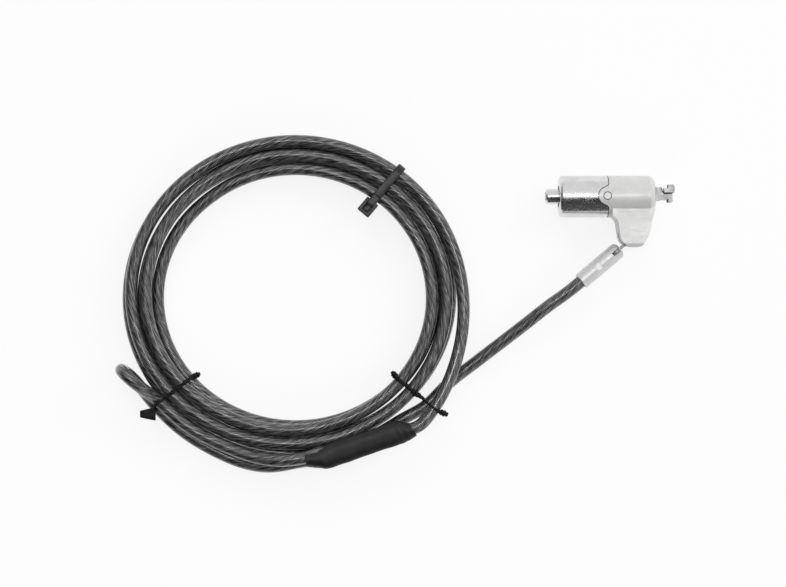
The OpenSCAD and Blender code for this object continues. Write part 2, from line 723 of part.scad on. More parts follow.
module cable_coil() {
    color("dimgray") tube(coil_path, cable_r, coil_sides);
}

module cable_loop() {
    color("dimgray") tube(loop_path, cable_r, tube_sides, loop_plane);
}

// A thin slice of the sleeve, set square to its own direction
module sleeve_slice(place, angle, w, h) {
    translate(place) rotate([0, 0, angle]) rotate([90, 0, 90]) linear_extrude(0.05, center = true)
        polygon(rounded(w, h, min(w, h) / 2 - 0.01, 8));
}

sleeve_angle = atan2(sleeve_mid_right[1] - sleeve_mid_left[1],
    sleeve_mid_right[0] - sleeve_mid_left[0]);
sleeve_middle = (sleeve_mid_right + sleeve_mid_left) / 2;
crimp_w = sleeve_w - 1.2;
crimp_t = sleeve_t - 1;

// The crimp tube's outer shape, grown by g
module crimp_body(g) {
    translate(sleeve_middle) rotate([0, 0, sleeve_angle]) rotate([90, 0, 90])
        linear_extrude(crimp_len + 2 * g, center = true)
            polygon(rounded(crimp_w + 2 * g, crimp_t + 2 * g, crimp_t / 2 + g - 0.01, 8));
}

module shrink_sleeve() {
    color("black") difference() {
        union() {
            hull() {
                sleeve_slice(sleeve_mid_right, sleeve_angle, sleeve_w, sleeve_t);
                sleeve_slice(sleeve_mid_left, sleeve_angle, sleeve_w, sleeve_t);
            }
            hull() {
                sleeve_slice(sleeve_mid_left, sleeve_angle, sleeve_w, sleeve_t);
                sleeve_slice(sleeve_left - 0.025 * left_dir, sleeve_left_dir, cable_d + 0.9,
                    2 * strand_rise + cable_d + 0.8);
            }
            hull() {
                sleeve_slice(sleeve_mid_right, sleeve_angle, sleeve_w, sleeve_t);
                sleeve_slice(sleeve_right + 0.025 * flat_dir(sleeve_right_dir), sleeve_right_dir,
                    cable_d + 0.5, cable_d + 0.5);
            }
        }
        crimp_body(run_fit);
    }
}

module loop_crimp() {
    color("silver") difference() {
        crimp_body(0);
        for (s = [-1, 1]) translate(sleeve_middle) rotate([0, 0, sleeve_angle])
            translate([0, s * (crimp_w - crimp_t) / 2, 0]) rotate([0, 90, 0])
                cylinder(d = crimp_t - 1.2, h = 2 * crimp_len, center = true);
    }
}

// Heading of a tie's plane from the coil's centre
function tie_heading(angle) = atan2(coil_oval[1] * sin(angle), coil_oval[0] * cos(angle));

// Where a path crosses that plane, as distance from the centre and height
function crossings(path, heading) = [for (i = [0:len(path) - 2])
    let (out = [cos(heading), sin(heading)], p = [path[i][0], path[i][1]] - coil_centre,
        q = [path[i + 1][0], path[i + 1][1]] - coil_centre, a = cross(out, p), b = cross(out, q))
    if (a * b <= 0 && a != b && p * out > 0)
        let (u = a / (a - b)) [mix(p, q, u) * out, mix(path[i][2], path[i + 1][2], u)]];

// Every strand that a tie of width w takes in, at its middle and at both edges
function strands(angle, w) = [for (path = [coil_path, lead_path, loop_path])
    for (turn = [-1, 0, 1])
        for (c = crossings(path, tie_heading(angle) + turn * (w / 2 + 3 * tie_gap) / coil_r * 57.3)) c];
function least(c, k) = min([for (v = c) v[k]]);
function most(c, k) = max([for (v = c) v[k]]);

// Places a tie across the coil: X points outwards, Y up
module on_coil(angle) {
    translate([coil_centre[0], coil_centre[1], 0]) rotate([0, 0, tie_heading(angle)])
        rotate([90, 0, 0]) children();
}

// A band pulled tight round its strands
module tie_band(centres, w) {
    inside = cable_r + tie_gap;
    linear_extrude(w, center = true) difference() {
        hull() for (c = centres) translate(c) circle(r = inside + tie_t, $fn = 32);
        hull() for (c = centres) translate(c) circle(r = inside, $fn = 32);
    }
}

module zip_tie() {
    centres = strands(zip_angle, zip_w);
    inner = least(centres, 0) - cable_r - tie_gap - tie_t / 2;
    head_h = 5.4;
    head_z = most(centres, 1) - 2.4;
    color("black") on_coil(zip_angle) union() {
        tie_band(centres, zip_w);
        difference() {
            translate([inner - zip_head + 0.2, head_z, -zip_head / 2])
                cube([zip_head, head_h, zip_head]);
            translate([inner - zip_head / 2 - tie_t / 2, head_z + head_h / 2, -zip_w / 2 - 0.2])
                cube([tie_t + 0.4, head_h, zip_w + 0.4]);
        }
    }
}

// A twist tie with a flat end outside and a twisted knot inside
module twist_tie(angle, flag) {
    centres = strands(angle, twist_w);
    outer = [for (c = centres) if (c[0] == most(centres, 0)) c][0];
    inner = [for (c = centres) if (c[0] == least(centres, 0)) c][0];
    band_r = cable_r + tie_gap + tie_t / 2;
    color("black") on_coil(angle) union() {
        tie_band(centres, twist_w);
        translate([outer[0] + band_r, outer[1] - tie_t / 2, -flag / 2])
            cube([flag, tie_t, flag]);
        translate([inner[0] - band_r - 0.8, inner[1] - 1.3, 0]) rotate([-90, 0, 0])
            cylinder(r = 1.4, h = 2.6, $fn = 24);
    }
}

module twist_tie_left() {
    twist_tie(left_angle, flag_left);
}

module twist_tie_right() {
    twist_tie(right_angle, flag_right);
}

rear_barrel();
front_housing();
barrel_pins();
lock_stator();
plug_shell();
plug_base();
push_rod();
core_rotor();
lock_discs();
disc_spacers();
sidebar();
cam_plate();
latch_bolt();
return_spring();
nose_post();
jaw_pin();
upper_jaw();
fin_pin();
link();
ferrule();
ferrule_pin();
cable_lead();
cable_coil();
cable_loop();
loop_crimp();
shrink_sleeve();
zip_tie();
twist_tie_left();
twist_tie_right();
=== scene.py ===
"""Looks of a keyed laptop cable lock: metal lock head, jacketed steel cable, sleeve and ties."""

import json
import logging
import math
from dataclasses import dataclass, field
from enum import Enum

import bmesh
import bpy
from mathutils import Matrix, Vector


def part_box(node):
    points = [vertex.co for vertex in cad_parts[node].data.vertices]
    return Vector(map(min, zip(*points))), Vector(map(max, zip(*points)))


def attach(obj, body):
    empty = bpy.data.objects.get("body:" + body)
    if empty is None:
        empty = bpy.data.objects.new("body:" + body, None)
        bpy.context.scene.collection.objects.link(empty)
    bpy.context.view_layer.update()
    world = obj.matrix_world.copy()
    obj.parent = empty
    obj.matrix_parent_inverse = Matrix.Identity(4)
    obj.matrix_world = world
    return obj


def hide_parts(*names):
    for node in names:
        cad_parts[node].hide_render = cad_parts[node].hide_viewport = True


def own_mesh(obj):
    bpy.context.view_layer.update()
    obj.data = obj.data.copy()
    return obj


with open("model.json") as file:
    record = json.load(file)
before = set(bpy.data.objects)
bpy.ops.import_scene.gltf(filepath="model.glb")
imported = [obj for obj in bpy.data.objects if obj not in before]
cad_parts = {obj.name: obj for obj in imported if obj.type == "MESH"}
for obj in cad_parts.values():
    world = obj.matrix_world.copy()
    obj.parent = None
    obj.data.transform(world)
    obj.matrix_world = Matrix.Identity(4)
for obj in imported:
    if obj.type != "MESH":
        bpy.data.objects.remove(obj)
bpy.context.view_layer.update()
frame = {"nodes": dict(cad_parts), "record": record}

MM = 0.001
# Edges sharper than this many degrees are rounded
BEVEL_ANGLE = 35.0
LOG = logging.getLogger("cable_lock")


class Body(Enum):
    """The bodies that the new pieces ride on."""

    CABLE = "cable"
    HEAD = "head"


def select_only(piece: bpy.types.Object) -> None:
    """Leaves one object selected and active.

    Args:
        piece: The object that the next operators act on.
    """
    bpy.ops.object.select_all(action="DESELECT")
    piece.select_set(True)
    bpy.context.view_layer.objects.active = piece


def place_in_mesh(piece: bpy.types.Object) -> None:
    """Moves an object's place, turn and scale into its mesh."""
    select_only(piece)
    bpy.ops.object.transform_apply(location=True, rotation=True, scale=True)


def finish_piece(piece: bpy.types.Object, name: str, finish: bpy.types.Material) -> None:
    """Names a piece and gives it one material.

    Args:
        piece: The finished mesh object.
        name: The piece's name.
        finish: Its material.
    """
    piece.name = name
    piece.data.name = name
    piece.data.materials.clear()
    piece.data.materials.append(finish)


def smooth(piece: bpy.types.Object, degrees: float) -> None:
    """Shades a piece smooth up to an angle between faces."""
    select_only(piece)
    bpy.ops.object.shade_smooth_by_angle(angle=math.radians(degrees))


def join_pieces(main: bpy.types.Object, others: list[bpy.types.Object], degrees: float) -> None:
    """Joins pieces into one and shades it smooth.

    Args:
        main: The piece that takes up the others.
        others: The pieces that go into it.
        degrees: The angle up to which faces are shaded as one.
    """
    select_only(main)
    for other in others:
        other.select_set(True)
    bpy.ops.object.join()
    smooth(main, degrees)


def add_block(middle: Vector, degrees: float, size: tuple[float, float, float]) -> bpy.types.Object:
    """Adds a block that is turned about Z.

    Args:
        middle: Its middle in metres.
        degrees: Its turn.
        size: Its edges in millimetres.

    Returns:
        The block.
    """
    bpy.ops.object.select_all(action="DESELECT")
    bpy.ops.mesh.primitive_cube_add(size=1.0, location=middle,
                                    rotation=(0.0, 0.0, math.radians(degrees)),
                                    scale=[edge * MM for edge in size])
    piece = bpy.context.active_object
    place_in_mesh(piece)
    return piece


def add_bevel(piece: bpy.types.Object, width: float, segments: int) -> None:
    """Rounds a piece's sharp edges and applies the modifier.

    Args:
        piece: The object.
        width: The rounding in metres.
        segments: Faces across the rounding.
    """
    select_only(piece)
    bevel = piece.modifiers.new("edge_round", "BEVEL")
    bevel.width = width
    bevel.segments = segments
    bevel.limit_method = "ANGLE"
    bevel.angle_limit = math.radians(BEVEL_ANGLE)
    bpy.ops.object.modifier_apply(modifier=bevel.name)


# ---------------------------------------------------------------- node groups and finishes


class NodeSheet:
    """Short ways to add and join nodes in one node tree."""

    def __init__(self, tree: bpy.types.NodeTree) -> None:
        """Keeps the tree that nodes go into."""
        self.tree = tree

    def add(self, kind: str, **settings: object) -> bpy.types.Node:
        """Adds a node and sets its properties.

        Args:
            kind: The node's type name.
            **settings: Properties by name.

        Returns:
            The new node.
        """
        node = self.tree.nodes.new(kind)
        for key, value in settings.items():
            setattr(node, key, value)
        return node

    def join(self, out: bpy.types.NodeSocket, into: bpy.types.NodeSocket) -> None:
        """Links two sockets."""
        self.tree.links.new(out, into)

    def feed(self, value: object, socket: bpy.types.NodeSocket) -> None:
        """Links a socket into another, or sets a number or a colour on it."""
        if isinstance(value, bpy.types.NodeSocket):
            self.join(value, socket)
        elif isinstance(value, (int, float)):
            socket.default_value = value
        else:
            socket.default_value = (*value, 1.0)

    def split(self, vector: bpy.types.NodeSocket) -> list[bpy.types.NodeSocket]:
        """Gives the X, Y and Z of a vector."""
        parts = self.add("ShaderNodeSeparateXYZ")
        self.join(vector, parts.inputs[0])
        return list(parts.outputs)

    def flat(self, x: bpy.types.NodeSocket, y: bpy.types.NodeSocket) -> bpy.types.NodeSocket:
        """Makes a vector of an X and a Y."""
        node = self.add("ShaderNodeCombineXYZ")
        self.join(x, node.inputs[0])
        self.join(y, node.inputs[1])
        return node.outputs[0]

    def noise(self, vector: bpy.types.NodeSocket, scale: object, detail: float,
              roughness: float = 0.5) -> bpy.types.NodeSocket:
        """Adds a Noise texture.

        Args:
            vector: The coordinates that it reads.
            scale: Its scale, a socket or a number.
            detail: Its octaves.
            roughness: How strong the finer octaves are.

        Returns:
            The value's socket.
        """
        node = self.add("ShaderNodeTexNoise")
        self.join(vector, node.inputs["Vector"])
        self.feed(scale, node.inputs["Scale"])
        node.inputs["Detail"].default_value = detail
        node.inputs["Roughness"].default_value = roughness
        return node.outputs[0]

    def math(self, operation: str, a: object, b: object = 0.0) -> bpy.types.NodeSocket:
        """Adds a Math node on sockets or numbers.

        Args:
            operation: The node's operation.
            a: First value, a socket or a number.
            b: Second value, a socket or a number.

        Returns:
            The output socket.
        """
        node = self.add("ShaderNodeMath", operation=operation)
        for socket, value in zip(node.inputs, (a, b)):
            self.feed(value, socket)
        return node.outputs[0]

    def mix_color(self, factor: object, low: object, high: object) -> bpy.types.NodeSocket:
        """Mixes two colours by a factor.

        Args:
            factor: A socket or a number.
            low: Colour at 0, a socket or three numbers.
            high: Colour at 1, a socket or three numbers.

        Returns:
            The mixed colour's socket.
        """
        node = self.add("ShaderNodeMix", data_type="RGBA")
        for index, value in ((0, factor), (6, low), (7, high)):
            self.feed(value, node.inputs[index])
        return node.outputs[2]

    def span(self, value: bpy.types.NodeSocket, low: float, high: float,
             to_low: float, to_high: float) -> bpy.types.NodeSocket:
        """Maps a value from one span to another, clamped."""
        node = self.add("ShaderNodeMapRange")
        self.join(value, node.inputs[0])
        for socket, number in zip(node.inputs[1:5], (low, high, to_low, to_high)):
            socket.default_value = number
        return node.outputs[0]


def new_group(name: str, inputs: dict[str, float], outputs: tuple[str, ...]) -> tuple:
    """Makes a shader node group with a vector input and float sockets.

    Args:
        name: The group's name.
        inputs: Input names with their defaults.
        outputs: Output names.

    Returns:
        The group's tree, its sheet, its input node and its output node.
    """
    tree = bpy.data.node_groups.new(name, "ShaderNodeTree")
    tree.interface.new_socket("Vector", in_out="INPUT", socket_type="NodeSocketVector")
    for key, value in inputs.items():
        socket = tree.interface.new_socket(key, in_out="INPUT", socket_type="NodeSocketFloat")
        socket.default_value = value
    for key in outputs:
        tree.interface.new_socket(key, in_out="OUTPUT", socket_type="NodeSocketFloat")
    sheet = NodeSheet(tree)
    return tree, sheet, sheet.add("NodeGroupInput"), sheet.add("NodeGroupOutput")


def handling_wear_group() -> bpy.types.NodeTree:
    """Builds smudges and fine scratches as two masks.

    Returns:
        The node group, with outputs Smudge and Scratch from 0 to 1.
    """
    tree, sheet, given, out = new_group(
        "handling_wear", {"Smudge Scale": 180.0, "Scratch Scale": 900.0}, ("Smudge", "Scratch"))
    smudge = sheet.noise(given.outputs["Vector"], given.outputs["Smudge Scale"], 4.0, 0.6)
    sheet.join(sheet.span(smudge, 0.35, 0.68, 0.0, 1.0), out.inputs["Smudge"])
    stretch = sheet.add("ShaderNodeMapping")
    stretch.inputs["Scale"].default_value = (0.12, 1.0, 1.0)
    stretch.inputs["Rotation"].default_value = (0.0, 0.2, 0.35)
    sheet.join(given.outputs["Vector"], stretch.inputs["Vector"])
    scratch = sheet.noise(stretch.outputs[0], given.outputs["Scratch Scale"], 6.0)
    sheet.join(sheet.span(scratch, 0.56, 0.68, 0.0, 1.0), out.inputs["Scratch"])
    return tree


# Scale of the jacket's clouds along a metre of cable, and round one turn
CLOUDS_ALONG, CLOUDS_ROUND = 90.0, 3.0
# How far the strands stray from an even helix, in turns
WANDER = 0.12
# Turns of a wire for one turn of the strands
WIRE_LAY = 0.55
# Scale of the wires' changes of brightness along a metre of cable, partly their own tone and partly
# painted glints
STREAKS_ALONG = 260.0


def strand_lay_group() -> bpy.types.NodeTree:
    """Builds the pattern of twisted steel strands along a cable's own map.

    The vector is the piece's UV map: X is metres along the cable, Y is turns round it.

    Returns:
        The node group, with outputs Crown (round strand tops, with painted shade between them),
        Wire (fine wires), Streak (painted glints along stretches of wire) and Cloud.
    """
    tree, sheet, given, out = new_group(
        "strand_lay", {"Lay Length": 0.017, "Strands": 7.0, "Wires": 28.0},
        ("Crown", "Wire", "Streak", "Cloud"))
    along, around, _ = sheet.split(given.outputs["Vector"])
    turns = sheet.math("DIVIDE", along, given.outputs["Lay Length"])
    cloud = sheet.noise(sheet.flat(sheet.math("MULTIPLY", along, CLOUDS_ALONG),
                                   sheet.math("MULTIPLY", around, CLOUDS_ROUND)), 1.0, 3.0)
    sheet.join(cloud, out.inputs["Cloud"])
    wander = sheet.math("MULTIPLY", sheet.math("SUBTRACT", cloud, 0.5), WANDER)
    helix = sheet.math("ADD", sheet.math("ADD", turns, around), wander)
    strands = sheet.math("MULTIPLY", helix, given.outputs["Strands"])
    wave = sheet.math("SINE", sheet.math("MULTIPLY", strands, math.pi))
    sheet.join(sheet.math("POWER", sheet.math("ABSOLUTE", wave), 0.6), out.inputs["Crown"])
    counter = sheet.math("ADD", sheet.math("ADD", around, wander),
                         sheet.math("MULTIPLY", turns, WIRE_LAY))
    wires = sheet.math("MULTIPLY", counter, given.outputs["Wires"])
    fine = sheet.math("ABSOLUTE", sheet.math("SINE", sheet.math("MULTIPLY", wires, math.pi)))
    sheet.join(sheet.math("POWER", fine, 2.0), out.inputs["Wire"])
    run = sheet.flat(sheet.math("MULTIPLY", along, STREAKS_ALONG), wires)
    sheet.join(sheet.span(sheet.noise(run, 1.0, 1.0), 0.36, 0.64, 0.0, 1.0),
               out.inputs["Streak"])
    return tree


def fine_grain_group() -> bpy.types.NodeTree:
    """Builds an even fine grain, as on satin plate or moulded plastic.

    Returns:
        The node group, with one output, Grain, from 0 to 1.
    """
    tree, sheet, given, out = new_group("fine_grain", {"Scale": 2500.0}, ("Grain",))
    grain = sheet.noise(given.outputs["Vector"], given.outputs["Scale"], 5.0, 0.65)
    sheet.join(grain, out.inputs["Grain"])
    return tree


def seam_shade_group() -> bpy.types.NodeTree:
    """Builds the painted shade line in the gap where the two shells meet, and round the cross pin.

    The vector is in the row frame, in metres. The seam runs straight across the body, bends in
    at two round corners, and goes round the tongue that the cross pin holds.

    Returns:
        The node group, with one output, Grime, from 0 to 1.
    """
    tree, sheet, given, out = new_group(
        "seam_painted_shade", {"Seam X": -0.00114, "Tongue X": -0.0017, "Tongue Radius": 0.00326,
                       "Pin Radius": 0.00138, "Corner X": -0.0023, "Corner Y": 0.0046,
                       "Corner Radius": 0.00116, "Line": 0.00021, "Axis Y": 0.006869},
        ("Painted Shade",))
    x, across, _ = sheet.split(given.outputs["Vector"])
    y = sheet.math("ABSOLUTE", sheet.math("SUBTRACT", across, given.outputs["Axis Y"]))

    def near(distance: bpy.types.NodeSocket) -> bpy.types.NodeSocket:
        """Gives 1 on a line, falling to 0 at the line's width."""
        share = sheet.math("DIVIDE", sheet.math("ABSOLUTE", distance), given.outputs["Line"])
        return sheet.span(share, 0.35, 1.0, 1.0, 0.0)

    def away(cx: str, cy: object, radius: str) -> bpy.types.NodeSocket:
        """Gives the distance from a circle's line."""
        dx = sheet.math("SUBTRACT", x, given.outputs[cx])
        dy = sheet.math("SUBTRACT", y, cy)
        far = sheet.math("SQRT", sheet.math("ADD", sheet.math("MULTIPLY", dx, dx),
                                            sheet.math("MULTIPLY", dy, dy)))
        return sheet.math("SUBTRACT", far, given.outputs[radius])

    tongue_side = sheet.math("LESS_THAN", x, given.outputs["Corner X"])
    tongue = sheet.math("MULTIPLY", near(away("Tongue X", 0.0, "Tongue Radius")), tongue_side)
    pin = near(away("Tongue X", 0.0, "Pin Radius"))
    straight = sheet.math("MULTIPLY", near(sheet.math("SUBTRACT", x, given.outputs["Seam X"])),
                          sheet.math("GREATER_THAN", y, given.outputs["Corner Y"]))
    inside = sheet.math("MULTIPLY", sheet.math("GREATER_THAN", x, given.outputs["Corner X"]),
                        sheet.math("LESS_THAN", y, given.outputs["Corner Y"]))
    corner = sheet.math("MULTIPLY", near(away("Corner X", given.outputs["Corner Y"],
                                              "Corner Radius")), inside)
    total = sheet.math("MAXIMUM", sheet.math("MAXIMUM", tongue, pin),
                       sheet.math("MAXIMUM", straight, corner))
    sheet.join(total, out.inputs["Painted Shade"])
    return tree


def crevice_group() -> bpy.types.NodeTree:
    """Builds a painted shade line where the two jaws part, along a straight stretch from its
    corner.

    The vector is in the row frame, in metres.

    Returns:
        The node group, with one output, Crevice, from 0 to 1.
    """
    tree, sheet, given, out = new_group(
        "crevice", {"From X": 0.01912, "From Y": 0.008019, "To X": 0.0182, "To Y": 0.010269,
                    "Line": 0.00042}, ("Crevice",))
    x, y, _ = sheet.split(given.outputs["Vector"])
    run_x = sheet.math("SUBTRACT", given.outputs["To X"], given.outputs["From X"])
    run_y = sheet.math("SUBTRACT", given.outputs["To Y"], given.outputs["From Y"])
    off_x = sheet.math("SUBTRACT", x, given.outputs["From X"])
    off_y = sheet.math("SUBTRACT", y, given.outputs["From Y"])

    def dot(ax: object, ay: object, bx: object, by: object) -> bpy.types.NodeSocket:
        """Gives the dot product of two flat vectors."""
        return sheet.math("ADD", sheet.math("MULTIPLY", ax, bx), sheet.math("MULTIPLY", ay, by))

    share = sheet.math("DIVIDE", dot(off_x, off_y, run_x, run_y), dot(run_x, run_y, run_x, run_y))
    share = sheet.math("MINIMUM", sheet.math("MAXIMUM", share, 0.0), 1.0)
    far_x = sheet.math("SUBTRACT", off_x, sheet.math("MULTIPLY", share, run_x))
    far_y = sheet.math("SUBTRACT", off_y, sheet.math("MULTIPLY", share, run_y))
    far = sheet.math("SQRT", dot(far_x, far_y, far_x, far_y))
    sheet.join(sheet.span(sheet.math("DIVIDE", far, given.outputs["Line"]), 0.5, 1.0, 1.0, 0.0),
               out.inputs["Crevice"])
    return tree


class Effects:
    """The node groups that several finishes share, built once."""

    def __init__(self) -> None:
        """Builds every group."""
        self.wear = handling_wear_group()
        self.lay = strand_lay_group()
        self.grain = fine_grain_group()
        self.seam = seam_shade_group()
        self.crevice = crevice_group()


def start_material(name: str) -> tuple[bpy.types.Material, NodeSheet, bpy.types.Node]:
    """Makes a node material with an empty Principled shader.

    Args:
        name: The material's name.

    Returns:
        The material, its sheet and its Principled node.
    """
    material = bpy.data.materials.new(name)
    material.use_nodes = True
    sheet = NodeSheet(material.node_tree)
    shader = material.node_tree.nodes["Principled BSDF"]
    return material, sheet, shader


def use_group(sheet: NodeSheet, group: bpy.types.NodeTree, vector: bpy.types.NodeSocket,
              **values: float) -> bpy.types.Node:
    """Places a shared group in a material.

    Args:
        sheet: The material's sheet.
        group: The node group.
        vector: The coordinates that it reads.
        **values: Input values, with spaces in names written as underscores.

    Returns:
        The group's node.
    """
    node = sheet.add("ShaderNodeGroup", node_tree=group)
    sheet.join(vector, node.inputs["Vector"])
    for key, value in values.items():
        node.inputs[key.replace("_", " ")].default_value = value
    return node


def add_bump(sheet: NodeSheet, shader: bpy.types.Node, height: bpy.types.NodeSocket,
             distance: float) -> None:
    """Feeds a height through a Bump node into the shader's normal.

    Args:
        sheet: The material's sheet.
        shader: The Principled node.
        height: The height's socket, from 0 to 1.
        distance: The depth in metres.
    """
    bump = sheet.add("ShaderNodeBump")
    bump.inputs["Distance"].default_value = distance
    sheet.join(height, bump.inputs["Height"])
    sheet.join(bump.outputs[0], shader.inputs["Normal"])


@dataclass(frozen=True)
class ShadeLine:
    """A straight painted shade line on the security tip, in metres in the row frame."""

    start: tuple[float, float]
    end: tuple[float, float]
    width: float


# Where the two jaws' parting line bends
PARTING_BEND = (0.01912, 0.00802)
# X of the roots of both hooks, and of the foot of the post
HOOK_ROOT_X = 0.02056
POST_FOOT_X = 0.01610
# Painted shade lines on the tip: the jaws' parting, the roots of both hooks and the foot of the
# post
JAW_LINES = (ShadeLine(PARTING_BEND, (0.0182, 0.01027), 0.00042),
             ShadeLine(PARTING_BEND, (0.0222, PARTING_BEND[1]), 0.00042),
             ShadeLine((HOOK_ROOT_X, 0.0045), (HOOK_ROOT_X, 0.0057), 0.00030),
             ShadeLine((HOOK_ROOT_X, 0.0100), (HOOK_ROOT_X, 0.0112), 0.00030),
             ShadeLine((POST_FOOT_X, 0.0052), (POST_FOOT_X, 0.0103), 0.00034))
# Colours of the painted shade in the seam gaps and between the jaws
SEAM_SHADE = (0.008, 0.008, 0.008)
JAW_SHADE = (0.006, 0.006, 0.006)


@dataclass(frozen=True)
class MetalFinish:
    """A bare or plated metal with smudges, fine scratches and grain, and where set, painted shade
    lines in its seam gaps and between its jaws.
    """

    name: str
    color: tuple[float, float, float]
    smudge_color: tuple[float, float, float]
    roughness: float
    smudge_roughness: float
    smudge_scale: float = 180.0
    grain_depth: float = 2e-6
    grain_scale: float = 2500.0
    metallic: float = 1.0
    # Strength of the painted shade in the seam gaps and round the cross pin
    seam_shade_strength: float = 0.0
    speckle: float = 0.0
    mottle: float = 0.0
    # Whether the jaws get painted shade lines
    parted: bool = False

    def build(self, effects: Effects) -> bpy.types.Material:
        """Makes the material.

        Args:
            effects: The shared node groups.

        Returns:
            The material.
        """
        material, sheet, shader = start_material(self.name)
        place = sheet.add("ShaderNodeTexCoord").outputs["Object"]
        wear = use_group(sheet, effects.wear, place, Smudge_Scale=self.smudge_scale,
                         Scratch_Scale=self.smudge_scale * 6)
        grain = use_group(sheet, effects.grain, place, Scale=self.grain_scale)
        tint = sheet.mix_color(wear.outputs["Smudge"], self.color, self.smudge_color)
        fleck = sheet.span(grain.outputs["Grain"], 0.35, 0.65, 1.0 - self.speckle, 1.0)
        tint = sheet.mix_color(fleck, (0.0, 0.0, 0.0), tint)
        # Painted shade in the seam gaps and round the cross pin
        if self.seam_shade_strength:
            seam = use_group(sheet, effects.seam, place)
            tint = sheet.mix_color(sheet.math("MULTIPLY", seam.outputs["Painted Shade"], self.seam_shade_strength),
                                   tint, SEAM_SHADE)
        # Painted shade lines where the jaws part, at the hook roots and at the post's foot
        if self.parted:
            dark = 0.0
            for line in JAW_LINES:
                part = use_group(sheet, effects.crevice, place, From_X=line.start[0],
                                 From_Y=line.start[1], To_X=line.end[0], To_Y=line.end[1],
                                 Line=line.width)
                dark = sheet.math("MAXIMUM", dark, part.outputs["Crevice"])
            tint = sheet.mix_color(dark, tint, JAW_SHADE)
        shader.inputs["Metallic"].default_value = self.metallic
        sheet.join(tint, shader.inputs["Base Color"])
        rough = sheet.span(wear.outputs["Smudge"], 0.0, 1.0, self.roughness, self.smudge_roughness)
        extra = sheet.math("MULTIPLY", wear.outputs["Scratch"], 0.10)
        fog = sheet.span(grain.outputs["Grain"], 0.46, 0.60, 0.0, self.mottle)
        extra = sheet.math("ADD", extra, fog)
        sheet.join(sheet.math("ADD", rough, extra), shader.inputs["Roughness"])
        height = sheet.math("SUBTRACT", grain.outputs["Grain"],
                            sheet.math("MULTIPLY", wear.outputs["Scratch"], 0.4))
        add_bump(sheet, shader, height, self.grain_depth)
        return material


@dataclass(frozen=True)
class JacketFinish:
    """A smoky clear jacket over twisted steel strands, with painted shade in the grooves and
    painted glints on the wires.
    """

    name: str = "cable_jacket"
    # The groove colour is painted shade between the strands; the wire colour is partly the wires'
    # own tone and partly painted glints
    groove_shade: tuple[float, float, float] = (0.004, 0.004, 0.004)
    strand: tuple[float, float, float] = (0.022, 0.022, 0.023)
    wire: tuple[float, float, float] = (0.44, 0.44, 0.45)
    lay_length: float = 0.030
    coat_roughness: float = 0.06
    relief: float = 0.00006

    def build(self, effects: Effects) -> bpy.types.Material:
        """Makes the material.

        Args:
            effects: The shared node groups.

        Returns:
            The material.
        """
        material, sheet, shader = start_material(self.name)
        chart = sheet.add("ShaderNodeUVMap", uv_map="cable_map").outputs[0]
        lay = use_group(sheet, effects.lay, chart, Lay_Length=self.lay_length)
        # Painted glints along the wires over the strands' own tone, then painted shade in the
        # grooves
        bright = sheet.math("MULTIPLY", lay.outputs["Wire"], lay.outputs["Streak"])
        body = sheet.mix_color(bright, self.strand, self.wire)
        crown = sheet.math("MULTIPLY", sheet.span(lay.outputs["Crown"], 0.0, 1.0, 0.25, 1.0),
                           sheet.span(lay.outputs["Cloud"], 0.3, 0.7, 0.7, 1.0))
        sheet.join(sheet.mix_color(crown, self.groove_shade, body), shader.inputs["Base Color"])
        shader.inputs["Metallic"].default_value = 0.55
        sheet.join(sheet.span(lay.outputs["Wire"], 0.0, 1.0, 0.55, 0.36),
                   shader.inputs["Roughness"])
        shader.inputs["Coat Weight"].default_value = 1.0
        shader.inputs["Coat Roughness"].default_value = self.coat_roughness
        shader.inputs["Coat IOR"].default_value = 1.5
        height = sheet.math("ADD", lay.outputs["Crown"],
                            sheet.math("MULTIPLY", lay.outputs["Wire"], 0.25))
        add_bump(sheet, shader, height, self.relief)
        return material


@dataclass(frozen=True)
class PlasticFinish:
    """A black moulded or shrunk plastic with an even grain and rubbed patches."""

    name: str
    color: tuple[float, float, float]
    rubbed: tuple[float, float, float]
    roughness: float
    grain_depth: float
    grain_scale: float = 1500.0
    specular: float = 0.22
    smudge_scale: float = 220.0
    scratch_scale: float = 1400.0
    roughness_swing: float = 0.06

    def build(self, effects: Effects) -> bpy.types.Material:
        """Makes the material.

        Args:
            effects: The shared node groups.

        Returns:
            The material.
        """
        material, sheet, shader = start_material(self.name)
        place = sheet.add("ShaderNodeTexCoord").outputs["Object"]
        wear = use_group(sheet, effects.wear, place, Smudge_Scale=self.smudge_scale,
                         Scratch_Scale=self.scratch_scale)
        grain = use_group(sheet, effects.grain, place, Scale=self.grain_scale)
        tint = sheet.mix_color(wear.outputs["Smudge"], self.color, self.rubbed)
        sheet.join(tint, shader.inputs["Base Color"])
        shader.inputs["Specular IOR Level"].default_value = self.specular
        rough = sheet.span(grain.outputs["Grain"], 0.3, 0.7, self.roughness - self.roughness_swing,
                           self.roughness + self.roughness_swing)
        sheet.join(rough, shader.inputs["Roughness"])
        add_bump(sheet, shader, grain.outputs["Grain"], self.grain_depth)
        return material


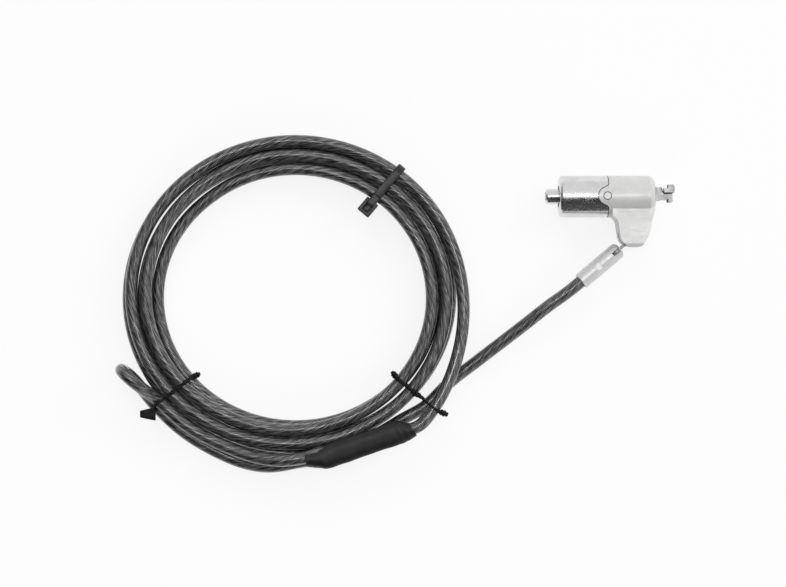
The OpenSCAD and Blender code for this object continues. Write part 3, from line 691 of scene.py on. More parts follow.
class Finishes:
    """Every finish of the lock, built once."""

    def __init__(self, effects: Effects) -> None:
        """Builds the materials from the shared groups."""
        chrome = MetalFinish("polished_chrome", (0.80, 0.80, 0.81), (0.72, 0.72, 0.73), 0.10,
                             0.18, smudge_scale=260.0, grain_depth=1.2e-6, grain_scale=3200.0,
                             seam_shade_strength=0.97, speckle=0.08, mottle=0.20)
        nickel = MetalFinish("satin_nickel", (0.72, 0.72, 0.715), (0.66, 0.66, 0.655), 0.34,
                             0.42, grain_depth=8e-6, grain_scale=2200.0, metallic=0.25,
                             seam_shade_strength=0.97, speckle=0.10)
        ferrule = MetalFinish("ferrule_nickel", (0.78, 0.78, 0.78), (0.68, 0.68, 0.68), 0.32,
                              0.42, grain_depth=8e-6, grain_scale=1800.0, metallic=0.4,
                              speckle=0.15)
        pins = MetalFinish("pin_steel", (0.70, 0.70, 0.70), (0.60, 0.60, 0.60), 0.34, 0.44,
                           metallic=0.3)
        tip = MetalFinish("tip_steel", (0.62, 0.62, 0.62), (0.46, 0.46, 0.46), 0.34, 0.48,
                          smudge_scale=420.0, grain_depth=1e-5, metallic=0.4, speckle=0.3,
                          seam_shade_strength=0.97, parted=True)
        steel = MetalFinish("bright_steel", (0.66, 0.66, 0.66), (0.54, 0.54, 0.54), 0.3, 0.4,
                            metallic=0.6, speckle=0.15)
        dark = MetalFinish("dark_steel", (0.07, 0.07, 0.075), (0.04, 0.04, 0.042), 0.35, 0.5)
        brass = MetalFinish("disc_brass", (0.72, 0.53, 0.25), (0.6, 0.42, 0.2), 0.25, 0.35)
        crimp = MetalFinish("crimp_aluminium", (0.7, 0.7, 0.72), (0.6, 0.6, 0.62), 0.35, 0.45)
        jacket = JacketFinish()
        sleeve = PlasticFinish("sleeve_black", (0.007, 0.007, 0.007), (0.013, 0.013, 0.013),
                               0.42, 3e-5, grain_scale=900.0, specular=0.38)
        tie = PlasticFinish("tie_black", (0.010, 0.010, 0.0105), (0.020, 0.020, 0.020), 0.32,
                            8e-6, specular=0.42)
        twist = PlasticFinish("twist_black", (0.004, 0.004, 0.004), (0.008, 0.008, 0.008), 0.45,
                              1e-5)
        every = (chrome, nickel, ferrule, pins, tip, steel, dark, brass, crimp, jacket, sleeve,
                 tie, twist)
        self.by_slot = {finish.name: finish.build(effects) for finish in every}

    def get(self, slot: str) -> bpy.types.Material:
        """Gives the material of a record slot."""
        return self.by_slot[slot]


# ---------------------------------------------------------------- the cable's route


def mix(a: Vector, b: Vector, u: float) -> Vector:
    """Gives the point a share of the way from a to b."""
    return a + (b - a) * u


def heading(degrees: float) -> Vector:
    """Gives the flat direction at an angle from +X."""
    return Vector((math.cos(math.radians(degrees)), math.sin(math.radians(degrees)), 0.0))


@dataclass
class CableRoute:
    """The centre line of the whole cable, in millimetres, as the solids have it."""

    diameter: float = 4.5
    centre: Vector = field(default_factory=lambda: Vector((-114.3, -28.9, 0.0)))
    oval: tuple[float, float] = (1.045, 0.98)
    start_angle: float = -51.5
    outer_radius: float = 58.9
    pitch: float = 5.07
    layer_pitch: float = 4.95
    loops: int = 5
    low_z: float = 3.5
    flare_from: float = 4.8
    flare_span: float = 0.158
    flare_r: float = 4.4
    flare_z: float = 3.0
    sleeve_z: float = 12.1
    sleeve_right_dir: float = 212.0
    sleeve_left_dir: float = 190.0
    strand_side: float = 0.75
    strand_rise: float = 2.4
    strand_in_sleeve: float = 1.9
    lead_dir: float = 220.1
    lead_start: Vector = field(default_factory=lambda: Vector((-9.8313, -23.0302, 7.5)))
    coil_end: float = 4.96
    steps_per_loop: int = 72
    curve_steps: int = 6
    smoothings: int = 6
    spacing: float = 1.5

    def __post_init__(self) -> None:
        """Works out the places that the sleeve gives."""
        self.sleeve_right = Vector((-71.0, -76.6, self.sleeve_z))
        self.sleeve_mid_right = Vector((-75.3, -77.3, self.sleeve_z))
        self.sleeve_mid_left = Vector((-102.7, -86.7, self.sleeve_z))
        self.sleeve_left = Vector((-109.4, -87.4, 10.4))
        left_side = heading(self.sleeve_left_dir + 90.0)
        rise = Vector((0.0, 0.0, self.strand_rise))
        self.strand_out = self.sleeve_left + rise - self.strand_side * left_side
        self.strand_in = self.sleeve_left - rise + self.strand_side * left_side

    def coil_point(self, t: float) -> Vector:
        """Gives the centre line after t loops of the coil."""
        angle = math.radians(self.start_angle - 360.0 * t)
        flare = max(0.0, (t - self.flare_from) / self.flare_span) ** 2
        radius = self.outer_radius - self.pitch * min(t, self.loops - t) + self.flare_r * flare
        climb = min(1.0, max(0.0, 2.0 * (t - self.loops / 2) + 0.5))
        climb = climb * climb * (3.0 - 2.0 * climb)
        return Vector((
            self.centre.x + self.oval[0] * radius * math.cos(angle),
            self.centre.y + self.oval[1] * radius * math.sin(angle),
            self.low_z + self.layer_pitch * climb + self.flare_z * flare))

    def lead(self) -> list[Vector]:
        """Gives the free stretch from the ferrule to the coil."""
        out = heading(self.lead_dir)
        start = self.coil_point(0.0)
        tangent = (self.coil_point(3 / self.steps_per_loop) - start).normalized()
        first = start - self.diameter * tangent
        route = [(-22, -32.3, 7.1), (-29, -37.9, 6.1), (-35.5, -43, 5.1), (-42.5, -48.4, 4.3),
                 (-50, -54.2, 3.7), (-58, -60.3, self.low_z)]
        return [self.lead_start, self.lead_start + 1.5 * self.diameter * out,
                *map(Vector, route), first - 1.5 * self.diameter * tangent, first]

    def coil(self) -> list[Vector]:
        """Gives the wound loops."""
        last = int(self.coil_end * self.steps_per_loop)
        return [self.coil_point(i / self.steps_per_loop) for i in range(last + 1)]

    def in_sleeve(self, side: float, along: tuple[float, ...]) -> list[Vector]:
        """Gives points inside the sleeve.

        Args:
            side: Distance from the sleeve's middle line, across it.
            along: Shares of the way from its right to its left shoulder.

        Returns:
            The points in that order.
        """
        run = (self.sleeve_mid_left - self.sleeve_mid_right).normalized()
        across = Vector((-run.y, run.x, 0.0))
        return [mix(self.sleeve_mid_right, self.sleeve_mid_left, u) + side * across for u in along]

    def loop(self) -> list[Vector]:
        """Gives the security loop, from the sleeve's left end and back to it."""
        low = self.low_z
        route = [(-119, -87.9, 12.3), (-125.5, -87.2, 10.9), (-132.1, -85.5, 9.6),
                 (-138.8, -82.8, 8.8), (-145.6, -79.7, 8.6), (-151.9, -76, 8.6),
                 (-157.1, -71.6, 8.7), (-161.8, -67.2, 9.2), (-164.7, -64.4, 11.6),
                 (-166.8, -62.4, 15.6), (-169, -60.2, 19.3), (-171.7, -57.8, 20.5),
                 (-174.2, -55.8, 17.8), (-175.5, -55, 12.8), (-174.6, -56, 7.6),
                 (-172.5, -58.3, 4.4), (-169.6, -61.7, low), (-166.1, -66.4, low),
                 (-161.4, -71.5, low), (-156.7, -75.9, low), (-151.6, -79.8, low),
                 (-146.5, -82.9, low), (-141.6, -85.5, low), (-136, -88, 3.7),
                 (-130.4, -89.7, 4.6), (-124.5, -90.5, 6), (-119, -90.1, 7.3)]
        out = heading(self.sleeve_left_dir)
        return [self.strand_out, self.strand_out + self.diameter * out, *map(Vector, route),
                self.strand_in + self.diameter * out, self.strand_in]

    def whole(self) -> list[Vector]:
        """Gives the whole cable from the ferrule to the crimp, evenly spaced in metres."""
        into = heading(self.sleeve_right_dir)
        entry = [self.sleeve_right - self.diameter * into, self.sleeve_right]
        through = self.in_sleeve(-self.strand_in_sleeve, (0.2, 0.45, 0.7, 0.9))
        back = self.in_sleeve(self.strand_in_sleeve, (0.88, 0.7, 0.5, 0.3))
        line = catmull(self.lead(), self.curve_steps)[:-1] + self.coil()
        line += catmull([line[-1], *entry, *through, *self.loop(), *back], self.curve_steps)[1:]
        even = resample(line, self.spacing)
        for _ in range(self.smoothings):
            even = [even[0], *[(a + 2 * b + c) / 4 for a, b, c in zip(even, even[1:], even[2:])],
                    even[-1]]
        return [point * MM for point in resample(even, self.spacing)]


def catmull(points: list[Vector], steps: int) -> list[Vector]:
    """Runs a smooth curve through points.

    Args:
        points: The points.
        steps: Pieces between two points.

    Returns:
        The curve's points, the given ones among them.
    """
    line: list[Vector] = []
    last = len(points) - 1
    for i in range(last):
        a, b = points[max(i - 1, 0)], points[i]
        c, d = points[i + 1], points[min(i + 2, last)]
        for k in range(steps):
            u = k / steps
            line.append((2 * b + (c - a) * u + (2 * a - 5 * b + 4 * c - d) * u * u
                         + (3 * b - a - 3 * c + d) * u ** 3) / 2)
    return [*line, points[-1]]


def resample(line: list[Vector], step: float) -> list[Vector]:
    """Spaces a line's points evenly.

    Args:
        line: The points.
        step: The wanted distance between them.

    Returns:
        New points from the first to the last.
    """
    total = [0.0]
    for a, b in zip(line, line[1:]):
        total.append(total[-1] + (b - a).length)
    count = max(2, round(total[-1] / step))
    even: list[Vector] = []
    k = 0
    for i in range(count + 1):
        want = total[-1] * i / count
        while k < len(line) - 2 and total[k + 1] < want:
            k += 1
        share = (want - total[k]) / max(1e-9, total[k + 1] - total[k])
        even.append(mix(line[k], line[k + 1], min(1.0, share)))
    return even


def line_length(line: list[Vector]) -> float:
    """Gives the length of a line of points."""
    return sum((b - a).length for a, b in zip(line, line[1:]))


def loft(name: str, rings: list[list[Vector]], closed: bool = False) -> bpy.types.Object:
    """Joins rings of points into one closed skin, with a map of metres along and turns round.

    Args:
        name: The object's name.
        rings: Rings with the same number of points each.
        closed: Whether the last ring joins the first.

    Returns:
        The piece, capped at both ends unless it is closed.
    """
    mesh = bmesh.new()
    chart = mesh.loops.layers.uv.new("cable_map")
    sides = len(rings[0])
    middles = [sum(ring, Vector()) / sides for ring in rings]
    along = [0.0]
    for a, b in zip(middles, middles[1:]):
        along.append(along[-1] + (b - a).length)
    skin = [[mesh.verts.new(point) for point in ring] for ring in rings]
    for i in range(len(skin) if closed else len(skin) - 1):
        j = (i + 1) % len(skin)
        far = along[i + 1] if i + 1 < len(along) else along[i] + 0.001
        for k in range(sides):
            n = (k + 1) % sides
            face = mesh.faces.new((skin[i][k], skin[i][n], skin[j][n], skin[j][k]))
            marks = ((along[i], k), (along[i], k + 1), (far, k + 1), (far, k))
            for corner, (distance, column) in zip(face.loops, marks):
                corner[chart].uv = (distance, column / sides)
            face.smooth = True
    if not closed:
        mesh.faces.new(list(reversed(skin[0])))
        mesh.faces.new(skin[-1])
    bmesh.ops.recalc_face_normals(mesh, faces=mesh.faces)
    data = bpy.data.meshes.new(name)
    mesh.to_mesh(data)
    mesh.free()
    piece = bpy.data.objects.new(name, data)
    bpy.context.scene.collection.objects.link(piece)
    return piece


def sweep(name: str, path: list[Vector], section: list[tuple[float, float]],
          side: Vector | None = None, closed: bool = False, pitch: float = 0.0,
          swell: list[float] | None = None) -> bpy.types.Object:
    """Sweeps a section along a path.

    Args:
        name: The object's name.
        path: Centre points in metres.
        section: Offsets across and up, in metres.
        side: The across direction where the path is flat, or None to carry it along.
        closed: Whether the path is a closed band.
        pitch: Metres for one full twist of the section, or 0 for none.
        swell: A scale of the section for each point of the path.

    Returns:
        The swept piece.
    """
    count = len(path)
    rings: list[list[Vector]] = []
    before = (path[1] - path[0]).normalized()
    across = side.copy() if side else before.cross(Vector((0.0, 0.0, 1.0))).normalized()
    gone = 0.0
    for i, point in enumerate(path):
        last = path[i - 1] if closed or i else path[0]
        ahead = path[(i + 1) % count] if closed or i < count - 1 else path[-1]
        tangent = (ahead - last).normalized()
        if side is None:
            across = before.rotation_difference(tangent) @ across
        across = (across - tangent * across.dot(tangent)).normalized()
        before = tangent
        up = tangent.cross(across)
        gone += (point - path[i - 1]).length if i else 0.0
        turn = 2.0 * math.pi * gone / pitch if pitch else 0.0
        c, n, k = math.cos(turn), math.sin(turn), swell[i] if swell else 1.0
        rings.append([point + k * ((u * c - v * n) * across + (u * n + v * c) * up)
                      for u, v in section])
    return loft(name, rings, closed)


def round_section(radius: float, sides: int) -> list[tuple[float, float]]:
    """Gives a circle's points."""
    turns = [2.0 * math.pi * k / sides for k in range(sides)]
    return [(radius * math.cos(a), radius * math.sin(a)) for a in turns]


def strap_section(width: float, thickness: float, corner: float) -> list[tuple[float, float]]:
    """Gives a flat strap's outline with rounded corners.

    Args:
        width: Its width across the path.
        thickness: Its thickness.
        corner: The corner radius.

    Returns:
        The outline's points.
    """
    outline = []
    for sx, sy, start in ((1, 1, 0), (-1, 1, 90), (-1, -1, 180), (1, -1, 270)):
        for step in (0, 30, 60, 90):
            a = math.radians(start + step)
            outline.append((sx * (width / 2 - corner) + corner * math.cos(a),
                            sy * (thickness / 2 - corner) + corner * math.sin(a)))
    return outline


def twin_section(radius: float, sides: int = 14) -> list[tuple[float, float]]:
    """Gives the outline of two wires side by side, for a twisted pair."""
    turns = [2.0 * math.pi * k / sides for k in range(sides)]
    reach = [radius * (0.62 + 0.38 * abs(math.cos(a))) for a in turns]
    return [(d * math.cos(a), d * math.sin(a)) for d, a in zip(reach, turns)]


# ---------------------------------------------------------------- sub-assemblies


@dataclass
class Cable:
    """The jacketed steel cable: lead, coil and security loop as one length."""

    finishes: Finishes
    route: CableRoute
    fittings: list[bpy.types.Object]
    sides: int = 20

    def build(self) -> bpy.types.Object:
        """Returns:
            The cable.
        """
        path = self.route.whole()
        section = round_section(self.route.diameter * MM / 2, self.sides)
        piece = sweep("security_cable", path, section)
        finish_piece(piece, "security_cable", self.finishes.get("cable_jacket"))
        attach(piece, Body.CABLE.value)
        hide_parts("cable_lead", "cable_coil", "cable_loop")
        LOG.info("cable length %.3f m, %d rings", line_length(path), len(path))
        return piece


@dataclass
class ShrinkSleeve:
    """The black heat-shrunk sleeve over the loop's crimp."""

    finishes: Finishes
    route: CableRoute
    width: float = 8.6
    thickness: float = 5.2
    sides: int = 40
    steps: int = 7

    def ring(self, place: Vector, angle: float, width: float, height: float,
             power: float) -> list[Vector]:
        """Gives one ring of the sleeve, square to its direction.

        Args:
            place: The ring's middle, in millimetres.
            angle: Its direction from +X in degrees.
            width: Its width.
            height: Its height.
            power: 1 for an oval, more for squarer sides.

        Returns:
            The ring's points in metres.
        """
        across = heading(angle + 90.0)
        points = []
        for k in range(self.sides):
            a = 2.0 * math.pi * k / self.sides
            c, n = math.cos(a), math.sin(a)
            x = math.copysign(abs(c) ** (1.0 / power), c) * width / 2
            z = math.copysign(abs(n) ** (1.0 / power), n) * height / 2
            points.append((place + x * across + Vector((0.0, 0.0, z))) * MM)
        return points

    def lip(self, ring: list[Vector]) -> list[Vector]:
        """Gives a ring drawn in a little, on which an end is closed."""
        middle = sum(ring, Vector()) / self.sides
        return [mix(middle, point, 0.9) for point in ring]

    def build(self) -> bpy.types.Object:
        """Lofts the sleeve over its strands, with shallow folds at both ends.

        Returns:
            The sleeve.
        """
        route = self.route
        run = (route.sleeve_mid_left - route.sleeve_mid_right)
        middle = math.degrees(math.atan2(run.y, run.x)) % 360.0
        d = route.diameter
        # Share of the way between the shoulders, then width, height and squareness
        stretch = ((0.1, self.width + 0.1, self.thickness + 0.1, 1.35),
                   (0.35, self.width - 0.2, self.thickness, 1.3),
                   (0.65, self.width, self.thickness, 1.35),
                   (0.9, self.width, self.thickness + 0.2, 1.3))
        marks = [(route.sleeve_right, route.sleeve_right_dir, d + 0.7, d + 0.7, 1.0),
                 (mix(route.sleeve_right, route.sleeve_mid_right, 0.45), 206.0, 6.9, 5.3, 1.05),
                 (route.sleeve_mid_right, middle + 3, 8.5, self.thickness + 0.1, 1.2),
                 *[(mix(route.sleeve_mid_right, route.sleeve_mid_left, share), middle, *size)
                   for share, *size in stretch],
                 (route.sleeve_mid_left, middle - 2, self.width - 0.3, 5.8, 1.2),
                 (mix(route.sleeve_mid_left, route.sleeve_left, 0.5), 194.0, 7.0, 8.2, 1.1),
                 (route.sleeve_left, route.sleeve_left_dir, d + 1.2,
                  2 * route.strand_rise + d + 1.0, 1.15)]
        places = catmull([mark[0] for mark in marks], self.steps)
        sizes = catmull([Vector(mark[2:5]) for mark in marks], self.steps)
        angles = catmull([Vector((mark[1], 0.0, 0.0)) for mark in marks], self.steps)
        rings = []
        for i, (place, size, angle) in enumerate(zip(places, sizes, angles)):
            share = i / (len(places) - 1)
            ends = max(0.0, abs(share - 0.5) * 2.0 - 0.45)
            fold = 1.0 + 0.035 * ends * math.sin(i * 2.1) + 0.012 * math.sin(i * 0.9)
            rings.append(self.ring(place, angle.x, size.x * fold, size.y * fold, size.z))
        piece = loft("heat_shrink_sleeve", [self.lip(rings[0]), *rings, self.lip(rings[-1])])
        smooth(piece, 50.0)
        finish_piece(piece, "heat_shrink_sleeve", self.finishes.get("sleeve_black"))
        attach(piece, Body.CABLE.value)
        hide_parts("shrink_sleeve")
        LOG.info("sleeve of %d rings", len(rings))
        return piece


def hull_of(points: list[tuple[float, float]]) -> list[tuple[float, float]]:
    """Gives the convex outline of flat points, counter-clockwise."""
    points = sorted(set(points))

    def half(run: list[tuple[float, float]]) -> list[tuple[float, float]]:
        """Gives one side of the outline."""
        out: list[tuple[float, float]] = []
        for p in run:
            while len(out) > 1 and ((out[-1][0] - out[-2][0]) * (p[1] - out[-2][1])
                                    - (out[-1][1] - out[-2][1]) * (p[0] - out[-2][0])) <= 0:
                out.pop()
            out.append(p)
        return out[:-1]

    return half(points) + half(points[::-1])


@dataclass
class TiePlane:
    """A plane square to the coil, where a tie goes round its strands."""

    route: CableRoute
    angle: float
    width: float

    def __post_init__(self) -> None:
        """Works out the plane's heading and the strands that cross it."""
        oval, a = self.route.oval, math.radians(self.angle)
        self.heading = math.degrees(math.atan2(oval[1] * math.sin(a), oval[0] * math.cos(a)))
        self.out = heading(self.heading)
        self.side = heading(self.heading + 90.0)
        line = [point / MM for point in self.route.whole()]
        self.strands = [spot for turn in (-1, 0, 1) for spot in self.crossings(
            line, self.heading + turn * math.degrees(self.width / 2 / self.route.outer_radius))]

    def crossings(self, line: list[Vector], degrees: float) -> list[tuple[float, float]]:
        """Finds where a line crosses a half plane from the coil's centre.

        Args:
            line: The line's points in millimetres.
            degrees: The half plane's heading.

        Returns:
            The distance outwards and the height of each crossing.
        """
        out, spots = heading(degrees), []
        for a, b in zip(line, line[1:]):
            p, q = a - self.route.centre, b - self.route.centre
            s, t = out.x * p.y - out.y * p.x, out.x * q.y - out.y * q.x
            if s * t <= 0 and s != t and p.x * out.x + p.y * out.y > 0:
                spot = mix(p, q, s / (s - t))
                spots.append((spot.x * out.x + spot.y * out.y, spot.z))
        return spots

    def place(self, outwards: float, height: float, aside: float = 0.0) -> Vector:
        """Turns a spot in the plane into metres in the row frame."""
        flat = Vector((self.route.centre.x, self.route.centre.y, 0.0))
        return (flat + outwards * self.out + aside * self.side
                + Vector((0.0, 0.0, height))) * MM

    def band(self, offset: float, step: float) -> list[Vector]:
        """Gives the closed line of a tie pulled tight round the strands.

        Args:
            offset: Distance of the line from the strands' centres.
            step: Distance between its points.

        Returns:
            The line in metres, without its repeated last point.
        """
        turns = [2.0 * math.pi * k / 36 for k in range(36)]
        ring = hull_of([(x + offset * math.cos(a), z + offset * math.sin(a))
                        for x, z in self.strands for a in turns])
        line = resample([Vector((x, z, 0.0)) for x, z in [*ring, ring[0]]], step)[:-1]
        return [self.place(point.x, point.y) for point in line]


@dataclass
class ZipTie:
    """The black nylon zip tie: strap and slotted head."""

    finishes: Finishes
    route: CableRoute
    angle: float = 51.5
    strap_width: float = 3.0
    thickness: float = 1.1
    head: tuple[float, float, float] = (5.8, 5.0, 5.4)
    rim: float = 0.55
    slope: float = 0.75
    sink: float = 1.9
    edge_round: float = 0.35
    tail_taper: tuple[float, ...] = (1.0, 1.0, 1.0, 1.0, 1.0, 1.0, 0.97, 0.9, 0.7)

    def strap(self, plane: TiePlane) -> bpy.types.Object:
        """Makes the strap round the strands."""
        offset = self.route.diameter / 2 + 0.1 + self.thickness / 2
        return sweep("zip_strap", plane.band(offset, 0.6),
                     strap_section(self.strap_width * MM, self.thickness * MM, 0.28 * MM),
                     side=plane.side, closed=True)

    def head_block(self, plane: TiePlane) -> bpy.types.Object:
        """Makes the head with its slot, from a block that is inset, sunk and bevelled.

        Args:
            plane: The tie's plane.

        Returns:
            The head.
        """
        inner = min(x for x, _ in plane.strands) - self.route.diameter / 2 - self.thickness
        top = max(z for _, z in plane.strands)
        middle = plane.place(inner - self.head[0] / 2 + 0.7, top + 0.3)
        piece = add_block(middle, plane.heading, self.head)
        bpy.ops.object.mode_set(mode="EDIT")
        bpy.ops.mesh.select_all(action="DESELECT")
        edit = bmesh.from_edit_mesh(piece.data)
        for face in edit.faces:
            face.select = face.normal.z > 0.9
        bmesh.update_edit_mesh(piece.data)
        for edge in (self.rim, self.slope):
            bpy.ops.mesh.inset(thickness=edge * MM, depth=0.0)
        bpy.ops.mesh.extrude_region_move(
            TRANSFORM_OT_translate={"value": (0.0, 0.0, -self.sink * MM)})
        bpy.ops.object.mode_set(mode="OBJECT")
        add_bevel(piece, self.edge_round * MM, 3)
        return piece

    def tail(self, plane: TiePlane) -> bpy.types.Object:
        """Makes the cut end of the strap that stands out past the head."""
        inner = min(x for x, _ in plane.strands) - self.route.diameter / 2
        top = max(z for _, z in plane.strands) + self.route.diameter / 2
        path = [plane.place(inner + 1.6 - 0.5 * k, top + 0.62 + 0.03 * k)
                for k in range(len(self.tail_taper))]
        section = strap_section(self.strap_width * 0.96 * MM, 1.0 * MM, 0.25 * MM)
        return sweep("zip_tail", path, section, side=plane.side, swell=list(self.tail_taper))

    def build(self) -> bpy.types.Object:
        """Makes the zip tie as one piece.

        Returns:
            The zip tie.
        """
        plane = TiePlane(self.route, self.angle, self.strap_width)
        strap = self.strap(plane)
        join_pieces(strap, [self.head_block(plane), self.tail(plane)], 40.0)
        finish_piece(strap, "nylon_zip_tie", self.finishes.get("tie_black"))
        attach(strap, Body.CABLE.value)
        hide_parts("zip_tie")
        LOG.info("zip tie over %d crossings", len(plane.strands))
        return strap


class TieEnd(Enum):
    """How an end of a twist tie is finished."""

    FLAG = "flag"
    KNOT = "knot"


@dataclass
class TwistTie:
    """A wire-cored twist tie, wound tight round the coil."""

    finishes: Finishes
    route: CableRoute
    node: str
    angle: float
    outer_end: TieEnd
    wire: float = 0.62
    flag: tuple[float, float, float] = (5.6, 4.8, 0.9)
    flag_turn: float = 38.0
    bead: float = 0.0

    def stub(self, plane: TiePlane, start: tuple[float, float], lean: tuple[float, float, float],
             length: float) -> bpy.types.Object:
        """Makes a short twisted end that stands off the coil.

        Args:
            plane: The tie's plane.
            start: Distance outwards and height where it starts.
            lean: Its direction outwards, up and aside.
            length: Its length in millimetres.

        Returns:
            The twisted end.
        """
        way = Vector(lean).normalized()
        count = 12
        path = [plane.place(start[0] + way.x * length * k / count,
                            start[1] + way.y * length * k / count,
                            way.z * length * k / count) for k in range(count + 1)]
        swell = [1.15 + 0.5 * math.sin(math.pi * k / count) ** 2 for k in range(count)] + [0.8]
        return sweep("twist_end", path, twin_section(self.wire * 1.25 * MM), pitch=2.4 * MM,
                     swell=swell)

    def flag_end(self, plane: TiePlane, outer: tuple[float, float]) -> bpy.types.Object:
        """Makes the flat end of the tie, narrowed away from the coil.

        Args:
            plane: The tie's plane.
            outer: Distance outwards and height of the outermost strand.

        Returns:
            The flag.
        """
        length = self.flag[0]
        turn = plane.heading - self.flag_turn
        way = heading(turn)
        start = outer[0] + 0.9
        middle = plane.place(start + length / 2, outer[1] + self.route.diameter / 2 + 0.9, 0.4)
        piece = add_block(middle, turn, self.flag)
        bpy.ops.object.mode_set(mode="EDIT")
        bpy.ops.mesh.select_all(action="SELECT")
        bpy.ops.mesh.subdivide(number_cuts=2)
        bpy.ops.mesh.select_all(action="DESELECT")
        edit = bmesh.from_edit_mesh(piece.data)
        far = max(vert.co.dot(way) for vert in edit.verts)
        for reach, narrow in ((0.7, 0.86), (0.4, 0.80), (0.1, 0.72)):
            for vert in edit.verts:
                vert.select = vert.co.dot(way) > far - reach * length * MM
            edit.select_flush(True)
            bmesh.update_edit_mesh(piece.data)
            bpy.ops.transform.resize(value=(1.0, narrow, 1.0))
        bpy.ops.object.mode_set(mode="OBJECT")
        add_bevel(piece, 0.22 * MM, 2)
        return piece

    def build(self) -> bpy.types.Object:
        """Makes the twist tie as one piece.

        Returns:
            The twist tie.
        """
        plane = TiePlane(self.route, self.angle, 2.0 * self.wire)
        reach = self.route.diameter / 2
        band = plane.band(reach + 0.12 + self.wire, 0.35)
        inner = min(plane.strands)
        outer = max(plane.strands)
        middle = (inner[0] + outer[0]) / 2
        swell = []
        for point in band:
            distance = (point / MM - self.route.centre).dot(plane.out)
            inner_share = min(1.0, max(0.0, (middle + 3.0 - distance) / 3.0))
            size = 0.78 + 0.40 * inner_share + 0.18 * inner_share * math.sin(distance * 2.2)
            if self.bead and point.z > self.route.low_z * MM:
                size += 1.5 * math.exp(-((distance - self.bead) / 0.9) ** 2)
            swell.append(size)
        tie = sweep(self.node, band, twin_section(self.wire * MM), side=plane.side, closed=True,
                    pitch=2.6 * MM, swell=swell)
        ends = [self.stub(plane, (inner[0] - reach + 0.8, inner[1] + reach * 0.8),
                          (-1.0, 0.35, 0.25), 3.4)]
        if self.outer_end is TieEnd.FLAG:
            ends.append(self.flag_end(plane, outer))
        else:
            ends.append(self.stub(plane, (outer[0] + reach - 0.6, outer[1] + reach * 0.7),
                                  (1.0, 0.1, 0.3), 3.8))
        join_pieces(tie, ends, 50.0)
        name = self.node.replace("twist_tie", "wire_twist_tie")
        finish_piece(tie, name, self.finishes.get("twist_black"))
        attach(tie, Body.CABLE.value)
        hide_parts(self.node)
        LOG.info("%s over %d crossings", name, len(plane.strands))
        return tie


@dataclass
class ReturnSpring:
    """The coil spring behind the push plug, which shortens as the plug goes in."""

    finishes: Finishes
    wire: float = 0.5
    coil_radius: float = 2.0
    turns: int = 6
    steps_per_turn: int = 24
    axis: tuple[float, float] = (6.869, 7.5)
    travel: float = 3.6

    def build(self) -> bpy.types.Object:
        """Winds the spring between its two seats.

        Returns:
            The spring.
        """
        low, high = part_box("return_spring")
        first, last = low.x / MM + self.wire / 2, high.x / MM - self.wire / 2
        steps = self.steps_per_turn * self.turns
        path = []
        for i in range(steps + 1):
            a = 2.0 * math.pi * i / self.steps_per_turn
            path.append(Vector((first + (last - first) * i / steps,
                                self.axis[0] + self.coil_radius * math.cos(a),
                                self.axis[1] + self.coil_radius * math.sin(a))) * MM)
        piece = sweep("push_spring", path, round_section(self.wire * MM / 2, 10))
        finish_piece(piece, "push_spring", self.finishes.get("bright_steel"))
        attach(piece, Body.HEAD.value)
        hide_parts("return_spring")
        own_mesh(piece)
        return piece


@dataclass
class LockHead:
    """The metal head, link and ferrule, dressed where the solids are already right."""

    finishes: Finishes

    def dress(self, node: str, slot: str) -> None:
        """Gives a solid its finish.

        Args:
            node: The solid's name.
            slot: The record's material slot.
        """
        solid = frame["nodes"][node]
        solid.data.materials.clear()
        solid.data.materials.append(self.finishes.get(slot))

    def build(self) -> None:
        """Dresses every solid from its slot in the record."""
        for entry in frame["record"]["subparts"]:
            if entry["node"] in frame["nodes"]:
                self.dress(entry["node"], entry["material_slot"])
                LOG.info("dressed %s", entry["node"])


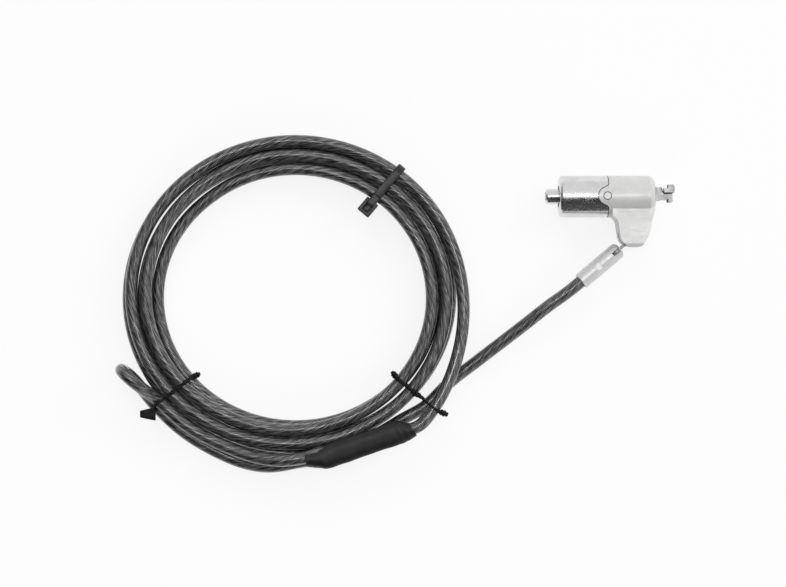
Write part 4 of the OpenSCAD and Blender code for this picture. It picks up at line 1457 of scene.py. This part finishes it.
@dataclass
class Studio:
    """A pale floor, soft light and the camera over the lock."""

    focus: Vector = field(default_factory=lambda: Vector((-0.0782, -0.0280, 0.0075)))
    distance: float = 0.700
    view_width: float = 0.2830
    floor_size: float = 6.0
    floor_drop: float = 0.0001
    floor_glow: float = 0.84

    def camera(self) -> None:
        """Hangs the camera straight above the middle of the lock."""
        data = bpy.data.cameras.new("view_camera")
        data.sensor_width = 36.0
        data.lens = data.sensor_width * self.distance / self.view_width
        data.clip_start = 0.01
        data.clip_end = 50.0
        piece = bpy.data.objects.new("view_camera", data)
        piece.location = self.focus + Vector((0.0, 0.0, self.distance))
        bpy.context.scene.collection.objects.link(piece)
        bpy.context.scene.camera = piece

    def floor(self) -> None:
        """Lays the pale floor under the lock."""
        bpy.ops.object.select_all(action="DESELECT")
        bpy.ops.mesh.primitive_plane_add(size=self.floor_size,
                                         location=(0.0, 0.0, -self.floor_drop))
        piece = bpy.context.active_object
        place_in_mesh(piece)
        material, sheet, shader = start_material("pale_floor")
        shader.inputs["Base Color"].default_value = (0.97, 0.97, 0.97, 1.0)
        shader.inputs["Roughness"].default_value = 0.9
        glow = sheet.add("ShaderNodeEmission")
        glow.inputs["Color"].default_value = (1.0, 1.0, 1.0, 1.0)
        path = sheet.add("ShaderNodeLightPath")
        blend = sheet.add("ShaderNodeMixShader")
        seen = sheet.math("MAXIMUM", path.outputs["Is Camera Ray"], path.outputs["Is Glossy Ray"])
        seen = sheet.math("MAXIMUM", seen, path.outputs["Is Transmission Ray"])
        sheet.join(sheet.math("MULTIPLY", seen, self.floor_glow), blend.inputs[0])
        sheet.join(shader.outputs[0], blend.inputs[1])
        sheet.join(glow.outputs[0], blend.inputs[2])
        sheet.join(blend.outputs[0], material.node_tree.nodes["Material Output"].inputs[0])
        finish_piece(piece, "floor", material)

    def lamp(self, name: str, place: tuple[float, float, float], size: tuple[float, float],
             power: float, mirrored: bool = True) -> None:
        """Adds a soft lamp that looks at the lock.

        Args:
            name: The lamp's name.
            place: Its position in metres.
            size: Its width and height in metres.
            power: Its power in watts.
            mirrored: Whether polished metal shows it.
        """
        data = bpy.data.lights.new(name, "AREA")
        data.shape = "RECTANGLE"
        data.size, data.size_y = size
        data.energy = power
        piece = bpy.data.objects.new(name, data)
        piece.location = place
        aim = self.focus - Vector(place)
        piece.rotation_euler = aim.to_track_quat("-Z", "Y").to_euler()
        piece.visible_glossy = mirrored
        bpy.context.scene.collection.objects.link(piece)

    def world(self) -> None:
        """Sets a soft surrounding light, white to the camera."""
        world = bpy.data.worlds.new("studio")
        bpy.context.scene.world = world
        world.use_nodes = True
        sheet = NodeSheet(world.node_tree)
        back = world.node_tree.nodes["Background"]
        direction = sheet.add("ShaderNodeTexCoord").outputs["Generated"]
        x, y, _ = sheet.split(direction)
        above = sheet.span(y, -0.20, -0.12, 0.0, 0.86)
        right = sheet.span(x, 0.25, 0.5, 0.0, 0.8)
        above = sheet.math("MULTIPLY", sheet.math("MAXIMUM", above, right),
                           sheet.span(x, -0.75, -0.35, 0.25, 1.0))
        below = sheet.span(y, -0.98, -0.25, 0.08, 0.01)
        low = sheet.math("MAXIMUM", above, below)
        path = sheet.add("ShaderNodeLightPath")
        shade = sheet.math("MAXIMUM", low, path.outputs["Is Camera Ray"])
        tint = sheet.add("ShaderNodeCombineColor")
        for socket in tint.inputs:
            sheet.join(shade, socket)
        sheet.join(tint.outputs[0], back.inputs["Color"])
        back.inputs["Strength"].default_value = 1.0

    def build(self) -> None:
        """Adds floor, lamps and world."""
        self.floor()
        self.lamp("top_softbox", (-0.05, 0.14, 1.2), (0.7, 0.055), 1.7)
        self.lamp("side_softbox", (0.9, 0.5, 0.7), (0.5, 0.5), 3.0, mirrored=False)
        self.lamp("back_softbox", (-0.3, 1.1, 0.9), (1.2, 0.5), 3.5, mirrored=False)
        self.lamp("front_softbox", (-0.2, -1.1, 0.7), (1.0, 0.5), 3.5, mirrored=False)
        self.world()


def write_sizes() -> None:
    """Brings the scene's placements up to date."""
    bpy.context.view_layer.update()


def main() -> None:
    """Builds the lock and its studio in order."""
    logging.basicConfig(level=logging.INFO)
    bpy.context.scene.view_settings.view_transform = "Standard"
    studio = Studio()
    studio.camera()
    finishes = Finishes(Effects())
    route = CableRoute()
    fittings = [ShrinkSleeve(finishes, route).build(), ZipTie(finishes, route).build(),
                TwistTie(finishes, route, "twist_tie_left", -139.4, TieEnd.FLAG).build(),
                TwistTie(finishes, route, "twist_tie_right", -40.0, TieEnd.KNOT, bead=56.2).build()]
    Cable(finishes, route, fittings).build()
    ReturnSpring(finishes).build()
    LockHead(finishes).build()
    studio.build()
    write_sizes()


if __name__ == "__main__":
    main()
